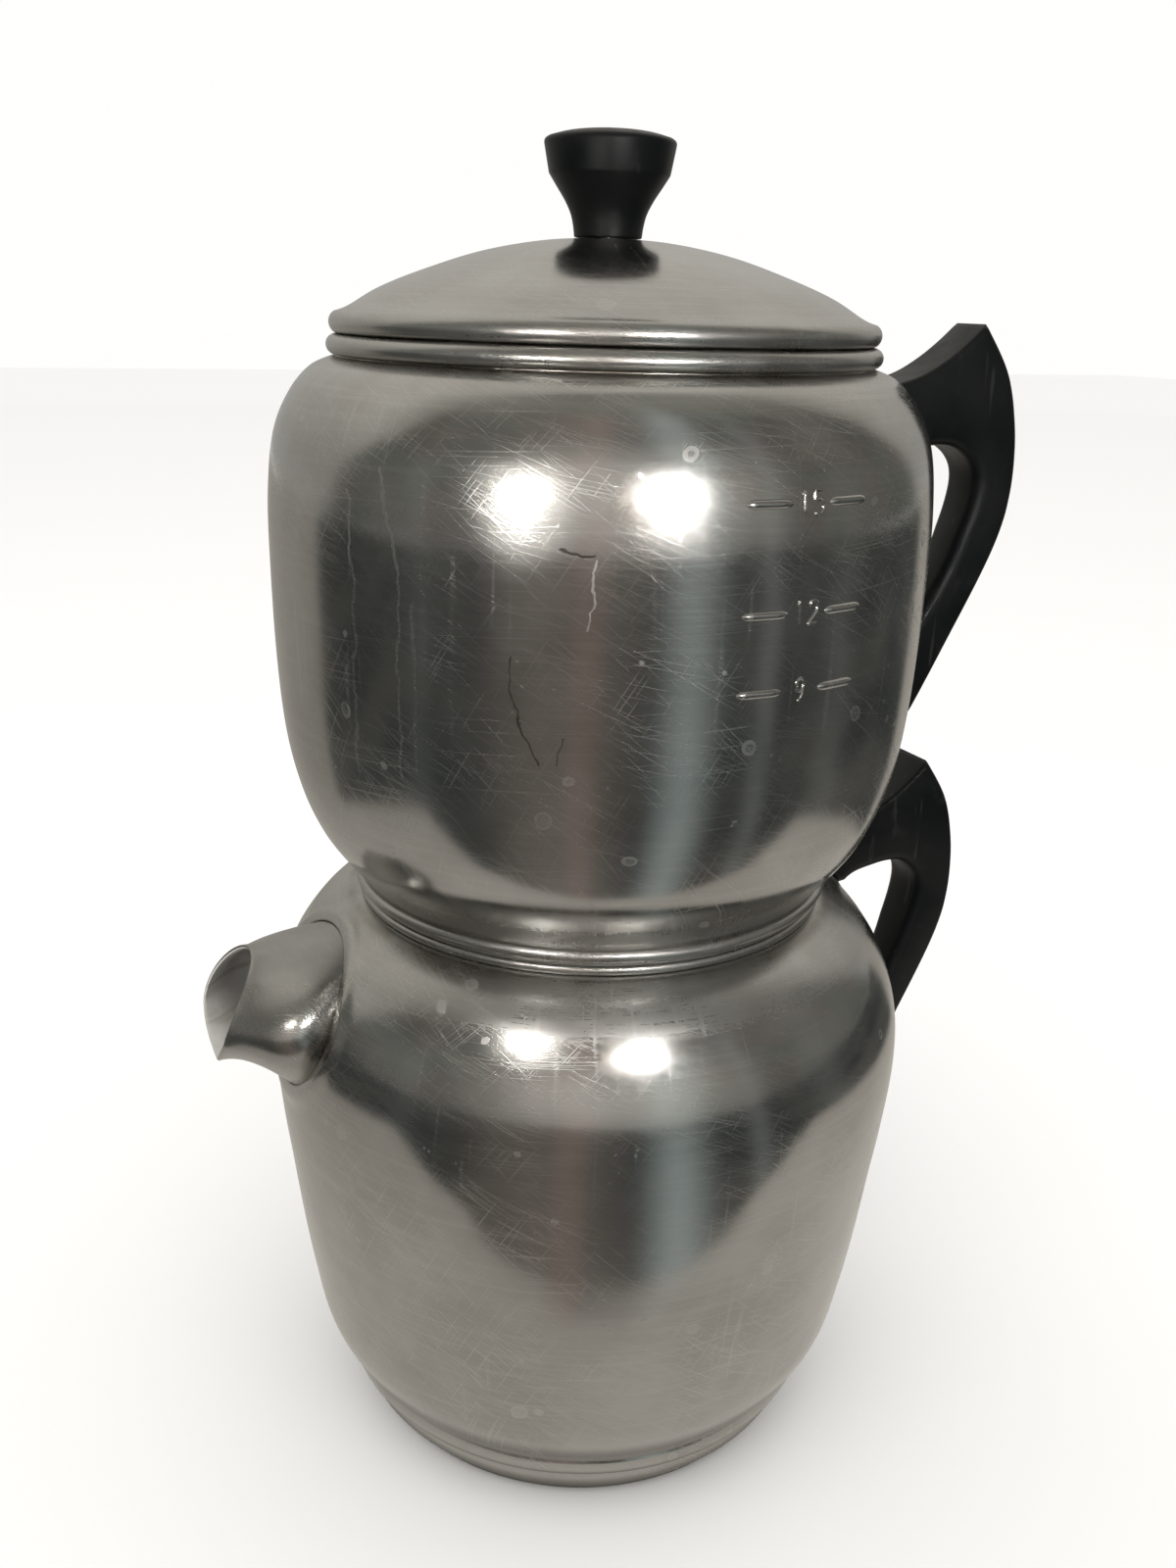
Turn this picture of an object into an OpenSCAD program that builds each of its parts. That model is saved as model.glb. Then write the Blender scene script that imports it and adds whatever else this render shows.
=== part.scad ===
// Stove-top drip coffee maker. A server pot carries a lift-out coffee basket with a water
// spreader, and a water container with a lid stands on the server's mouth.
// Z is up and the origin is the centre of the server's flat bottom. The spout points
// along -X and the server's handle along +X.

/* [Server] */
// Largest radius of the server's wall
server_r = 88.6; // [87:0.1:90]
// Height of the seat on top of the server's mouth bead
server_h = 160.9; // [160:0.1:162]
// Radius of the flat bottom
foot_r = 61; // [58:0.5:61]

/* [Water container] */
// Largest radius of the container's wall
container_r = 84.2; // [83:0.1:86]
// Height of the container from its lower bead to the top of its rim bead
container_h = 141.4; // [140:0.1:143]
// Turn of the container and its handle on the server, about Z
container_turn = -7; // [-30:1:30]
// Number of drip holes in the container's bottom
drip_holes = 8; // [4:1:12]

/* [Sheet] */
// Thickness of the aluminium sheet
sheet = 1.3; // [1.1:0.1:1.5]
// Thickness of the strap behind each handle
strap_t = 1.4; // [1:0.1:1.8]
// Width of the strap behind each handle
strap_w = 15; // [12:1:16]

/* [Basket] */
// Outer radius of the basket's upper wall
basket_r = 58.2; // [57.8:0.1:58.6]
// Depth of the basket below its flange
basket_depth = 56; // [50:1:60]
// Rings of holes in the basket's bottom
basket_rings = 3; // [2:1:4]

/* [Handles] */
// Width of a handle at its top
handle_w = 18; // [16:0.5:20]
// Width of a handle at its lower end
handle_end_w = 12; // [10:0.5:14]

/* [Lid] */
// Rise of the lid's dome above its rim
dome_h = 17.6; // [16:0.1:19]
// Height of the knob above the dome
knob_h = 24.2; // [22:0.1:26]
// Radius of the knob's flared top
knob_r = 16; // [14:0.1:17]

/* [Hidden] */
$fn = 96;

// Steps per stretch of a smooth outline
steps = 5;

// Beads: [centre radius, centre height, tube radius]
mouth_bead = [62.7, server_h - 1.35, 1.35];
basket_flange_t = 0.6;
seat_z = server_h + basket_flange_t + 0.1;
lower_bead_r = 1.85;
lower_bead = [63.4, seat_z + lower_bead_r, lower_bead_r];
rim_bead_r = 2.45;
rim_z = seat_z + container_h;
rim_bead = [66.4, rim_z - rim_bead_r, rim_bead_r];

// Spigot of the water container, inside the basket's mouth
spigot_r = 56.2;
spigot_depth = 10.5;

// Spout: the seam is a circle on the wall, tipped up
seam_c = [-80.5, 0, 130.5];
seam_tip = 17.7;
seam_r = 24.4;
spout_sheet = 1.2;

// Handle fastenings
screw_r = 1.95;
screw_head_r = 4;
screw_head_h = 2;
screw_reach = 8.5;
insert_r = 3.2;
insert_len = 8;
washer_r = 5;
washer_t = 0.8;
fit_gap = 0.05;

// Depth of a washer's outer face below the wall's: its rim touches the curved sheet first
washer_depth = sheet + 0.6;

// Heights of the handle tips and the screws, top then bottom
server_tip_z = 183;
container_tip_z = 309;
server_screw_z = [server_tip_z - 35.5, server_tip_z - 100];
container_screw_z = [container_tip_z - 26, container_tip_z - 99];

// Knob fastening
knob_screw_r = 2;
lid_top_z = rim_z + 6 + dome_h;

// ---------- Outline helpers ----------

function unit(v) = v / norm(v);

// Point on a Catmull-Rom stretch from b to c at t
function spline_point(a, b, c, d, t) =
    0.5 * ((2 * b) + (c - a) * t + (2 * a - 5 * b + 4 * c - d) * t * t
           + (3 * b - a - 3 * c + d) * t * t * t);

// Smooth path through the points p
function smooth(p) =
    let (last = len(p) - 1)
    concat([for (i = [0 : last - 1], k = [0 : steps - 1])
                spline_point(p[max(i - 1, 0)], p[i], p[i + 1], p[min(i + 2, last)], k / steps)],
           [p[last]]);

// Arc from a to b that bulges by s to the right of the way from a to b
function bulge(a, b, s) =
    let (half = norm(b - a) / 2, r = (half * half + s * s) / (2 * s), along = unit(b - a),
         side = [along.y, -along.x], centre = (a + b) / 2 - side * (r - s),
         sweep = asin(half / r))
    [for (k = [0 : steps]) let (w = sweep * (2 * k / steps - 1))
        centre + r * (cos(w) * side + sin(w) * along)];

// The path moved to its left by t
function inset(path, t) =
    [for (i = [0 : len(path) - 1])
        let (way = unit(path[min(i + 1, len(path) - 1)] - path[max(i - 1, 0)]))
        path[i] + t * [-way.y, way.x]];

function reversed(path) = [for (i = [len(path) - 1 : -1 : 0]) path[i]];

// Place on a wall path at height z: [radius, z, angle of the outward normal above level]
function wall_place(path, z) =
    let (i = [for (k = [0 : len(path) - 2]) if (path[k].y <= z && path[k + 1].y > z) k][0],
         a = path[i], b = path[i + 1], t = (z - a.y) / (b.y - a.y))
    [a.x + (b.x - a.x) * t, z, atan2(a.x - b.x, b.y - a.y)];

// ---------- Outlines: [radius, height] from the bottom up ----------

step_low = [foot_r + 2.2, 3.3];
step_mid = [foot_r + 6.3, 10.8];
step_top = [foot_r + 10, 18.8];

server_foot = concat(bulge([foot_r - 1, 0], step_low, 0.9),
                     bulge(step_low, step_mid, 1.1),
                     bulge(step_mid, step_top, 1.1));

server_wall = smooth([step_top, [server_r - 11.4, 30], [server_r - 8.2, 45], [server_r - 5.6, 62],
                      [server_r - 3.4, 80], [server_r - 1.3, 97], [server_r, 114],
                      [server_r - 0.9, 127], [server_r - 4.8, 139], [server_r - 10.4, 148],
                      [server_r - 16.4, 154], [mouth_bead.x + 3.2, 157.6],
                      [mouth_bead.x, 158.6]]);

container_wall = smooth([[lower_bead.x, seat_z + 3.4], [66.4, seat_z + 7.3], [70.2, seat_z + 11.9],
                         [container_r - 9.4, seat_z + 19], [container_r - 5.4, seat_z + 29],
                         [container_r - 2.4, seat_z + 43], [container_r - 0.7, seat_z + 63],
                         [container_r, seat_z + 88], [container_r - 0.2, seat_z + 104],
                         [container_r - 2, seat_z + 118], [container_r - 6, seat_z + 127.5],
                         [container_r - 11.4, seat_z + 133.8], [rim_bead.x, seat_z + 136.6]]);

lid_dome = smooth([[66.6, rim_z + 5.2], [63.2, rim_z + 6.5], [55.7, rim_z + 10.9],
                   [44.6, rim_z + 15.4], [30.3, rim_z + 20], [15, rim_z + 22.8],
                   [0.01, lid_top_z]]);

// ---------- Shared shapes ----------

module bead(b) {
    translate([b.x, b.y]) circle(r = b.z);
}

module wall_section(path, t) {
    polygon(concat(path, reversed(inset(path, t))));
}

// Moves its children to a wall place, with +Z along the outward normal at azimuth 0
module on_wall(place) {
    translate([place.x, 0, place.y]) rotate([0, 90 - place.z, 0]) children();
}

// Cylinder along the seam's axis, from depth a inside the wall to b outside it
module along_seam(r, a, b) {
    translate(seam_c) rotate([0, seam_tip - 90, 0]) translate([0, 0, a]) cylinder(r = r, h = b - a);
}

module strap(path, z_low, z_high) {
    intersection() {
        rotate_extrude() wall_section(inset(path, -strap_t), strap_t - fit_gap);
        translate([0, -strap_w / 2, z_low]) cube([server_r + 10, strap_w, z_high - z_low]);
    }
}

// One screw per place, entering from inside the wall
module screws(path, heights) {
    for (z = heights) on_wall(wall_place(path, z)) {
        translate([0, 0, -washer_depth - washer_t - screw_head_h])
            cylinder(r1 = screw_head_r * 0.7, r2 = screw_head_r, h = screw_head_h);
        translate([0, 0, -washer_depth - washer_t])
            cylinder(r = screw_r - fit_gap, h = washer_depth + washer_t + screw_reach);
    }
}

module washers(path, heights) {
    for (z = heights) on_wall(wall_place(path, z)) translate([0, 0, -washer_depth - washer_t])
        difference() {
            cylinder(r = washer_r, h = washer_t);
            translate([0, 0, -1]) cylinder(r = screw_r, h = washer_t + 2);
        }
}

module inserts(path, heights) {
    for (z = heights) on_wall(wall_place(path, z)) translate([0, 0, strap_t + 0.3])
        difference() {
            cylinder(r = insert_r, h = insert_len);
            translate([0, 0, -1]) cylinder(r = screw_r, h = insert_len + 2);
        }
}

module screw_holes(path, heights, r, depth) {
    for (z = heights) on_wall(wall_place(path, z)) translate([0, 0, -4])
        cylinder(r = r, h = 4 + depth);
}

// Side outline of a handle: x from the wall's largest radius, y from the tip of its horn
handle_outer = smooth([[6.5, -113], [12.2, -101], [18.4, -87], [26.6, -68], [30.8, -56],
                       [32.6, -46], [32.8, -36], [31.4, -25], [27.5, -12], [19.5, 0]]);
handle_top = smooth([[19.5, 0], [14.5, -4.7], [9, -9], [3, -12.6], [-3, -14.8], [-9, -16],
                     [-14, -16.8]]);
handle_gap = smooth([[-8, -36], [-3.2, -33.7], [2.4, -32.4], [8.1, -31.6], [13.5, -31.9],
                     [17.9, -34.5], [20.5, -38], [21.3, -42.5], [20.3, -49], [18.4, -55.3],
                     [15.8, -63.6], [11.5, -73], [6, -83], [0, -92]]);

module handle_side() {
    difference() {
        polygon(concat([[-8, -113]], handle_outer, handle_top, [[-14, -45], [-8, -45]]));
        polygon(concat([[-30, -46]], handle_gap, [[-30, -92]]));
    }
}

// Front outline of a handle: half widths down its height
module handle_front() {
    side = smooth([[handle_w / 2 - 0.6, 2], [handle_w / 2, -20], [handle_w / 2 - 0.4, -50],
                   [handle_end_w / 2 + 1, -82], [handle_end_w / 2, -104],
                   [handle_end_w / 2 - 2, -111], [0.5, -113.5]]);
    polygon(concat(side, [for (p = reversed(side)) [-p.x, p.y]]));
}

// A whole handle for a wall path, with its horn's tip at tip_z
module handle(path, wall_r, tip_z, screw_z) {
    difference() {
        intersection() {
            translate([wall_r, 0, tip_z]) rotate([90, 0, 0])
                linear_extrude(height = handle_w + 2, center = true) handle_side();
            translate([wall_r - 40, 0, tip_z]) rotate([90, 0, 90])
                linear_extrude(height = 90) handle_front();
        }
        rotate_extrude() polygon(concat([[0, 0]], [[0, path[len(path) - 1].y + 20]],
            reversed(inset(path, -strap_t - fit_gap)), [[0, path[0].y - 1]]));
        screw_holes(path, screw_z, insert_r + fit_gap, strap_t + 0.3 + insert_len);
    }
}

// ---------- Server ----------

module server_body() color([0.72, 0.71, 0.69]) {
    difference() {
        rotate_extrude() union() {
            polygon(concat([[0, 0]], server_foot, server_wall,
                           reversed(inset(server_wall, sheet)),
                           reversed(inset(server_foot, sheet)), [[0, sheet]]));
            bead(mouth_bead);
        }
        along_seam(seam_r, -24, 24);
        screw_holes(server_wall, server_screw_z, screw_r, 4);
    }
}

// Outline of the spout at a station s from 0 at the seam to 1 at the mouth
function bezier(a, b, c, d, s) = a * pow(1 - s, 3) + 3 * b * s * pow(1 - s, 2)
                                 + 3 * c * s * s * (1 - s) + d * s * s * s;
function spout_high(s) = bezier(seam_r, 24.8, 21, 16.2, s);
function spout_low(s) = -bezier(seam_r, 17, 16, 18.2, s);
function spout_half(s) = bezier(seam_r, 24.5, 19, 15.5, s);

// The mouth's edge leans back towards its top
function spout_out(s, v) =
    s <= 0 ? s * 40 : s * (24.7 - 7.3 * s * pow(max(v + 6, 0) / 22.2, 3));

// Ring of points round the spout; its lower end sharpens towards the mouth
spout_sides = 48;
function spout_ring(s, thick) =
    let (q = max(s, 0), hi = spout_high(q) - thick, lo = spout_low(q) + thick,
         hw = spout_half(q) - thick, pinch = 0.2 * q * q)
    [for (k = [0 : spout_sides - 1])
        let (a = 360 * k / spout_sides, v = (hi + lo) / 2 + (hi - lo) / 2 * cos(a),
             y = hw * sin(a) * pow(max((1 + cos(a)) / 2, 0.0001), pinch))
        [y, -v, spout_out(s, v)]];

spout_stations = [-0.12, 0, 0.12, 0.25, 0.38, 0.5, 0.62, 0.74, 0.86, 1];

module spout() color([0.75, 0.74, 0.72]) {
    n = spout_sides;
    m = len(spout_stations);
    outer = [for (s = spout_stations) each spout_ring(s, fit_gap)];
    inner = [for (s = spout_stations) each spout_ring(s, spout_sheet)];
    skin = [for (j = [0 : m - 2], k = [0 : n - 1])
               [j * n + k, (j + 1) * n + k, (j + 1) * n + (k + 1) % n, j * n + (k + 1) % n]];
    lining = [for (f = skin) [for (i = [3 : -1 : 0]) f[i] + m * n]];
    root = [for (k = [0 : n - 1]) [k, (k + 1) % n, (k + 1) % n + m * n, k + m * n]];
    lip = [for (k = [0 : n - 1]) let (a = (m - 1) * n + k, b = (m - 1) * n + (k + 1) % n)
              [a, a + m * n, b + m * n, b]];
    translate(seam_c) rotate([0, seam_tip - 90, 0]) rotate([0, 0, 90])
        polyhedron(points = concat(outer, inner), faces = concat(skin, lining, root, lip));
}

module server_strap() color([0.45, 0.45, 0.46]) {
    difference() {
        strap(server_wall, server_screw_z[1] - 9, server_screw_z[0] + 7.5);
        screw_holes(server_wall, server_screw_z, screw_r, 4);
    }
}

module server_handle() color([0.05, 0.05, 0.05]) {
    handle(server_wall, server_r, server_tip_z, server_screw_z);
}

module server_handle_screws() color([0.7, 0.7, 0.7]) screws(server_wall, server_screw_z);
module server_handle_washers() color([0.7, 0.7, 0.7]) washers(server_wall, server_screw_z);
module server_handle_inserts() color([0.75, 0.6, 0.3]) inserts(server_wall, server_screw_z);

// ---------- Basket and spreader ----------

basket_step_z = server_h - 20;
basket_low_r = basket_r - 4.5;
basket_floor_z = server_h - basket_depth;
hole_r = 1.1;

// Rings of holes round the axis, as many as leave equal gaps
module hole_rings(rings, first_r, pitch, z, depth) {
    for (i = [0 : rings - 1]) {
        ring_r = first_r + i * pitch;
        count = floor(2 * PI * ring_r / pitch);
        for (k = [0 : count - 1]) rotate([0, 0, 360 * k / count])
            translate([ring_r, 0, z]) cylinder(r = hole_r, h = depth, $fn = 16);
    }
}

module coffee_basket() color([0.78, 0.78, 0.77]) {
    difference() {
        rotate_extrude() polygon([
            [0, basket_floor_z], [basket_low_r - 3, basket_floor_z],
            [basket_low_r, basket_floor_z + 3], [basket_low_r, basket_step_z - 4],
            [basket_r, basket_step_z], [basket_r, server_h + fit_gap],
            [mouth_bead.x + 0.6, server_h + fit_gap],
            [mouth_bead.x + 0.6, server_h + basket_flange_t], [basket_r - 1, server_h + basket_flange_t],
            [basket_r - 1, basket_step_z + 0.4], [basket_low_r - 1, basket_step_z - 3.6],
            [basket_low_r - 1, basket_floor_z + 3.4], [basket_low_r - 3.4, basket_floor_z + 1],
            [0, basket_floor_z + 1]]);
        hole_rings(basket_rings, 12, 12, basket_floor_z - 1, 4);
    }
}

module water_spreader() color([0.78, 0.78, 0.77]) {
    difference() {
        rotate_extrude() polygon([
            [0, basket_step_z + 1.2], [6, basket_step_z + 1.2], [9, basket_step_z - 1],
            [basket_low_r - 2, basket_step_z - 1], [basket_low_r + 0.6, basket_step_z + 0.6],
            [basket_r - 1.6, basket_step_z + 0.8], [basket_r - 1.6, basket_step_z + 5],
            [basket_r - 2.4, basket_step_z + 5], [basket_r - 2.4, basket_step_z + 1.6],
            [basket_low_r + 0.3, basket_step_z + 1.4], [basket_low_r - 2.3, basket_step_z - 0.2],
            [9.4, basket_step_z - 0.2], [6.3, basket_step_z + 2], [0, basket_step_z + 2]]);
        hole_rings(3, 16, 14, basket_step_z - 3, 5);
    }
}

// ---------- Water container ----------

// Level marks: heights above the seat, and places round the wall either side of a figure
level_z = [71.2, 88.4, 111.6];
level_azimuth = -75;
dash_offset = 7.2;
dash_len = 10.5;
dash_r = 1;

module level_dashes() {
    for (z = level_z, side = [-1, 1]) {
        place = wall_place(container_wall, seat_z + z);
        rotate([0, 0, level_azimuth + side * dash_offset])
            translate([place.x - 0.55, dash_len / 2, place.y]) rotate([90, 0, 0])
                cylinder(r = dash_r, h = dash_len, $fn = 24);
    }
}

module water_container() color([0.72, 0.71, 0.69]) rotate([0, 0, container_turn]) {
    floor_z = seat_z - spigot_depth;
    difference() {
        union() {
            rotate_extrude() union() {
                wall_section(container_wall, sheet);
                bead(lower_bead);
                bead(rim_bead);
                polygon([[spigot_r - sheet, seat_z + sheet], [lower_bead.x, seat_z + sheet],
                         [lower_bead.x, seat_z], [spigot_r - sheet, seat_z]]);
                polygon([[0, floor_z], [spigot_r - 2, floor_z], [spigot_r, floor_z + 2],
                         [spigot_r, seat_z + 0.5], [spigot_r - sheet, seat_z + 0.5],
                         [spigot_r - sheet, floor_z + 2.5], [spigot_r - 2.5, floor_z + sheet],
                         [0, floor_z + sheet]]);
            }
            level_dashes();
        }
        for (k = [0 : drip_holes - 1]) rotate([0, 0, 360 * k / drip_holes])
            translate([22, 0, floor_z - 1]) cylinder(r = hole_r, h = sheet + 2, $fn = 16);
        screw_holes(container_wall, container_screw_z, screw_r, 4);
    }
}

module container_strap() color([0.45, 0.45, 0.46]) rotate([0, 0, container_turn]) {
    difference() {
        strap(container_wall, container_screw_z[1] - 9, container_screw_z[0] + 8);
        screw_holes(container_wall, container_screw_z, screw_r, 4);
    }
}

module container_handle() color([0.05, 0.05, 0.05]) rotate([0, 0, container_turn]) {
    handle(container_wall, container_r, container_tip_z, container_screw_z);
}

module container_handle_screws() color([0.7, 0.7, 0.7]) rotate([0, 0, container_turn])
    screws(container_wall, container_screw_z);
module container_handle_washers() color([0.7, 0.7, 0.7]) rotate([0, 0, container_turn])
    washers(container_wall, container_screw_z);
module container_handle_inserts() color([0.75, 0.6, 0.3]) rotate([0, 0, container_turn])
    inserts(container_wall, container_screw_z);

// ---------- Lid ----------

lid_gap = 0.1;
collar_r = 63.3;
collar_depth = 6.5;
collar_top = 4.3;

module lid() color([0.72, 0.71, 0.69]) {
    edge_z = rim_z + lid_gap;
    edge = concat(bulge([66.9, edge_z], [66.6, rim_z + 5.2], 1.2), lid_dome);
    difference() {
        rotate_extrude() polygon(concat(
            [[collar_r + fit_gap, edge_z]], edge, [[0, lid_top_z]], [[0, lid_top_z - sheet]],
            reversed(inset([for (p = lid_dome) if (p.x < collar_r - 3 && p.x > 4) p], sheet)),
            [[collar_r + fit_gap, rim_z + collar_top]]));
        translate([0, 0, lid_top_z - 5]) cylinder(r = knob_screw_r, h = 10);
    }
}

// Ring inside the lid's edge that keeps it on the rim
module lid_collar() color([0.72, 0.71, 0.69]) rotate_extrude()
    translate([collar_r - 1, rim_z - collar_depth]) square([1, collar_depth + collar_top]);

module lid_knob() color([0.05, 0.05, 0.05]) {
    z = lid_top_z + fit_gap;
    side = smooth([[8.6, z], [8.9, z + 1.6], [9.4, z + 4.5], [10.4, z + 7], [12.4, z + 10.2],
                   [14.6, z + 14], [knob_r - 0.4, z + 18], [knob_r, z + knob_h - 3]]);
    difference() {
        rotate_extrude() polygon(concat(
            [[0, z]], side, [[knob_r - 1.2, z + knob_h - 1.2], [knob_r - 7, z + knob_h],
            [0, z + knob_h]]));
        translate([0, 0, z - 1]) cylinder(r = insert_r + fit_gap, h = insert_len + 3);
    }
}

module knob_insert() color([0.75, 0.6, 0.3]) {
    translate([0, 0, lid_top_z + 0.8]) difference() {
        cylinder(r = insert_r, h = insert_len);
        translate([0, 0, -1]) cylinder(r = knob_screw_r, h = insert_len + 2);
    }
}

module knob_screw() color([0.7, 0.7, 0.7]) {
    head_z = lid_top_z - sheet - washer_t - 0.4;
    translate([0, 0, head_z - screw_head_h])
        cylinder(r1 = screw_head_r * 0.7, r2 = screw_head_r, h = screw_head_h);
    translate([0, 0, head_z]) cylinder(r = knob_screw_r - fit_gap, h = screw_reach + 2);
}

module knob_washer() color([0.7, 0.7, 0.7]) {
    translate([0, 0, lid_top_z - sheet - washer_t - 0.3]) difference() {
        cylinder(r = washer_r, h = washer_t - 0.1);
        translate([0, 0, -1]) cylinder(r = knob_screw_r, h = washer_t + 2);
    }
}

server_body();
spout();
server_strap();
server_handle();
server_handle_screws();
server_handle_washers();
server_handle_inserts();
coffee_basket();
water_spreader();
water_container();
container_strap();
container_handle();
container_handle_screws();
container_handle_washers();
container_handle_inserts();
lid();
lid_collar();
lid_knob();
knob_insert();
knob_screw();
knob_washer();
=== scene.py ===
"""Looks of a stove-top drip coffee maker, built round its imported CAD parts.

Outlines are lists of (radius, height) or (x, z) points in millimetres; meshes are in metres.
"""
import math

import bmesh
import bpy
import numpy as np
from mathutils import Matrix, Vector, noise
from mathutils.geometry import delaunay_2d_cdt


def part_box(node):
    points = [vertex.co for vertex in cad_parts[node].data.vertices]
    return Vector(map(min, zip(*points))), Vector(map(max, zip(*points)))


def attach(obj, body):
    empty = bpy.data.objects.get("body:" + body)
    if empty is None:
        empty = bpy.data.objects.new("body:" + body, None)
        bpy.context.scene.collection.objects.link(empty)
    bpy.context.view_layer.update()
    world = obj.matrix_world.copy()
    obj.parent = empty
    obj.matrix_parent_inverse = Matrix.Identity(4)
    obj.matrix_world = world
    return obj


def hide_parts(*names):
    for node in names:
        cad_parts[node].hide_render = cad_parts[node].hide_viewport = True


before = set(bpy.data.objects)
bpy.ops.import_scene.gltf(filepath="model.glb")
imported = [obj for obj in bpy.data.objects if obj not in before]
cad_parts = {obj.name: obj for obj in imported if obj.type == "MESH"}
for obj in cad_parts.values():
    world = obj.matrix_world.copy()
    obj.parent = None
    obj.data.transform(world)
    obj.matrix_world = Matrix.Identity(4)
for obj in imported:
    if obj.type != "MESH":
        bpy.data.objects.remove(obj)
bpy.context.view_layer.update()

MM = 0.001

# ---------------------------------------------------------------- sizes, in millimetres

SERVER_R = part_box("server_body")[1][1] / MM
SERVER_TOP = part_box("server_body")[1][2] / MM
CONTAINER_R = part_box("water_container")[1][1] / MM
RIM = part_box("water_container")[1][2] / MM
KNOB_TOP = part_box("lid_knob")[1][2] / MM
KNOB_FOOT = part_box("lid_knob")[0][2] / MM

CONTAINER_HEIGHT = 141.4
SEAT = RIM - CONTAINER_HEIGHT
CONTAINER_TURN = math.radians(-7)

FOOT_R = 61.0
SHEET = 1.3
LINING_DEPTH = 0.7 * SHEET
MOUTH_BEAD = (62.7, SERVER_TOP - 1.35, 1.35)
NECK_BEAD = (63.4, SEAT + 1.85, 1.85)
RIM_BEAD = (66.4, RIM - 2.45, 2.45)
SPIGOT_R = 56.2
SPIGOT_DEPTH = 10.5
DRIP_HOLES = 8
DRIP_PLACE = 22.0
DRIP_RADIUS = 1.1

STRAP_T = 1.4
STRAP_W = 15.0
SERVER_TIP = 183.0
CONTAINER_TIP = 309.0

SEAM_PLACE = (-80.5, 133.7)
SEAM_TIP = math.radians(29.9)
SEAM_HIGH = 21.25
SEAM_WIDE = 23.6

LEVELS = {"9": 71.2, "12": 88.4, "15": 111.6}
LEVEL_AZIMUTH = math.radians(-75.7)
DASH_OFFSET = math.radians(7.3)
DASH_LENGTH = 11.3
FIGURE_HEIGHT = 5.0


# ---------------------------------------------------------------- outlines


def spline(points, steps=6):
    """Catmull-Rom curve through points."""
    p = np.array(points, float)
    last = len(p) - 1
    out = []
    for i in range(last):
        a, b, c, d = p[max(i - 1, 0)], p[i], p[i + 1], p[min(i + 2, last)]
        for k in range(steps):
            t = k / steps
            out.append(0.5 * (2 * b + (c - a) * t + (2 * a - 5 * b + 4 * c - d) * t * t
                              + (3 * b - a - 3 * c + d) * t ** 3))
    out.append(p[last])
    return np.array(out)


def bulge(a, b, rise, steps=8):
    """Arc from a to b that stands out by rise to the right of the way from a to b."""
    a, b = np.array(a, float), np.array(b, float)
    half = np.linalg.norm(b - a) / 2
    r = (half * half + rise * rise) / (2 * rise)
    along = (b - a) / (2 * half)
    side = np.array([along[1], -along[0]])
    centre = (a + b) / 2 - side * (r - rise)
    sweep = math.asin(half / r)
    turns = [sweep * (2 * k / steps - 1) for k in range(steps + 1)]
    return np.array([centre + r * (math.cos(w) * side + math.sin(w) * along) for w in turns])


def bead_arc(bead, start, end, steps=14):
    """Arc of a bead's circle between two angles, in degrees from +r towards +z."""
    turns = np.radians(np.linspace(start, end, steps))
    return np.array([(bead[0] + bead[2] * math.cos(w), bead[1] + bead[2] * math.sin(w))
                     for w in turns])


def inset(path, t):
    """The path moved to its left by t."""
    way = np.gradient(path, axis=0)
    way /= np.linalg.norm(way, axis=1)[:, None]
    return path + t * np.stack([-way[:, 1], way[:, 0]], 1)


def join_paths(*paths):
    return np.concatenate([np.atleast_2d(np.array(p, float)) for p in paths])


FOOT_LOW = (FOOT_R + 2.2, 3.3)
FOOT_MID = (FOOT_R + 6.3, 10.8)
FOOT_TOP = (FOOT_R + 10, 18.8)

SERVER_WALL = spline([
    FOOT_TOP, (SERVER_R - 11.4, 30), (SERVER_R - 8.2, 45), (SERVER_R - 5.6, 62),
    (SERVER_R - 3.4, 80), (SERVER_R - 1.3, 97), (SERVER_R, 114), (SERVER_R - 0.9, 127),
    (SERVER_R - 4.8, 139), (SERVER_R - 10.4, 148), (SERVER_R - 16.4, 154),
    (MOUTH_BEAD[0] + 3.2, 157.6), (MOUTH_BEAD[0], 158.6)], 8)

CONTAINER_WALL = spline([
    (NECK_BEAD[0], SEAT + 3.4), (66.4, SEAT + 7.3), (70.2, SEAT + 11.9),
    (CONTAINER_R - 9.4, SEAT + 19), (CONTAINER_R - 5.4, SEAT + 29),
    (CONTAINER_R - 2.4, SEAT + 43), (CONTAINER_R - 0.7, SEAT + 63), (CONTAINER_R, SEAT + 88),
    (CONTAINER_R - 0.2, SEAT + 104), (CONTAINER_R - 2, SEAT + 118),
    (CONTAINER_R - 6, SEAT + 127.5), (CONTAINER_R - 11.4, SEAT + 133.8),
    (RIM_BEAD[0], SEAT + 136.6)], 8)

LID_TOP = RIM + 23.6
LID_DOME = spline([
    (66.6, RIM + 5.2), (63.2, RIM + 6.5), (55.7, RIM + 10.9), (44.6, RIM + 15.4),
    (30.3, RIM + 20), (15, RIM + 22.8), (0, LID_TOP)], 8)


def wall_radius(wall, z):
    """Radius of a wall at a height; the wall's heights rise all the way."""
    return float(np.interp(z, wall[:, 1], wall[:, 0]))


def wall_slope(wall, z):
    """Outward normal (radial part, upward part) of a wall at a height."""
    rise = 1.5
    dr = (wall_radius(wall, z + rise) - wall_radius(wall, z - rise)) / (2 * rise)
    size = math.hypot(1, dr)
    return 1 / size, -dr / size


# ---------------------------------------------------------------- meshes


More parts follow.
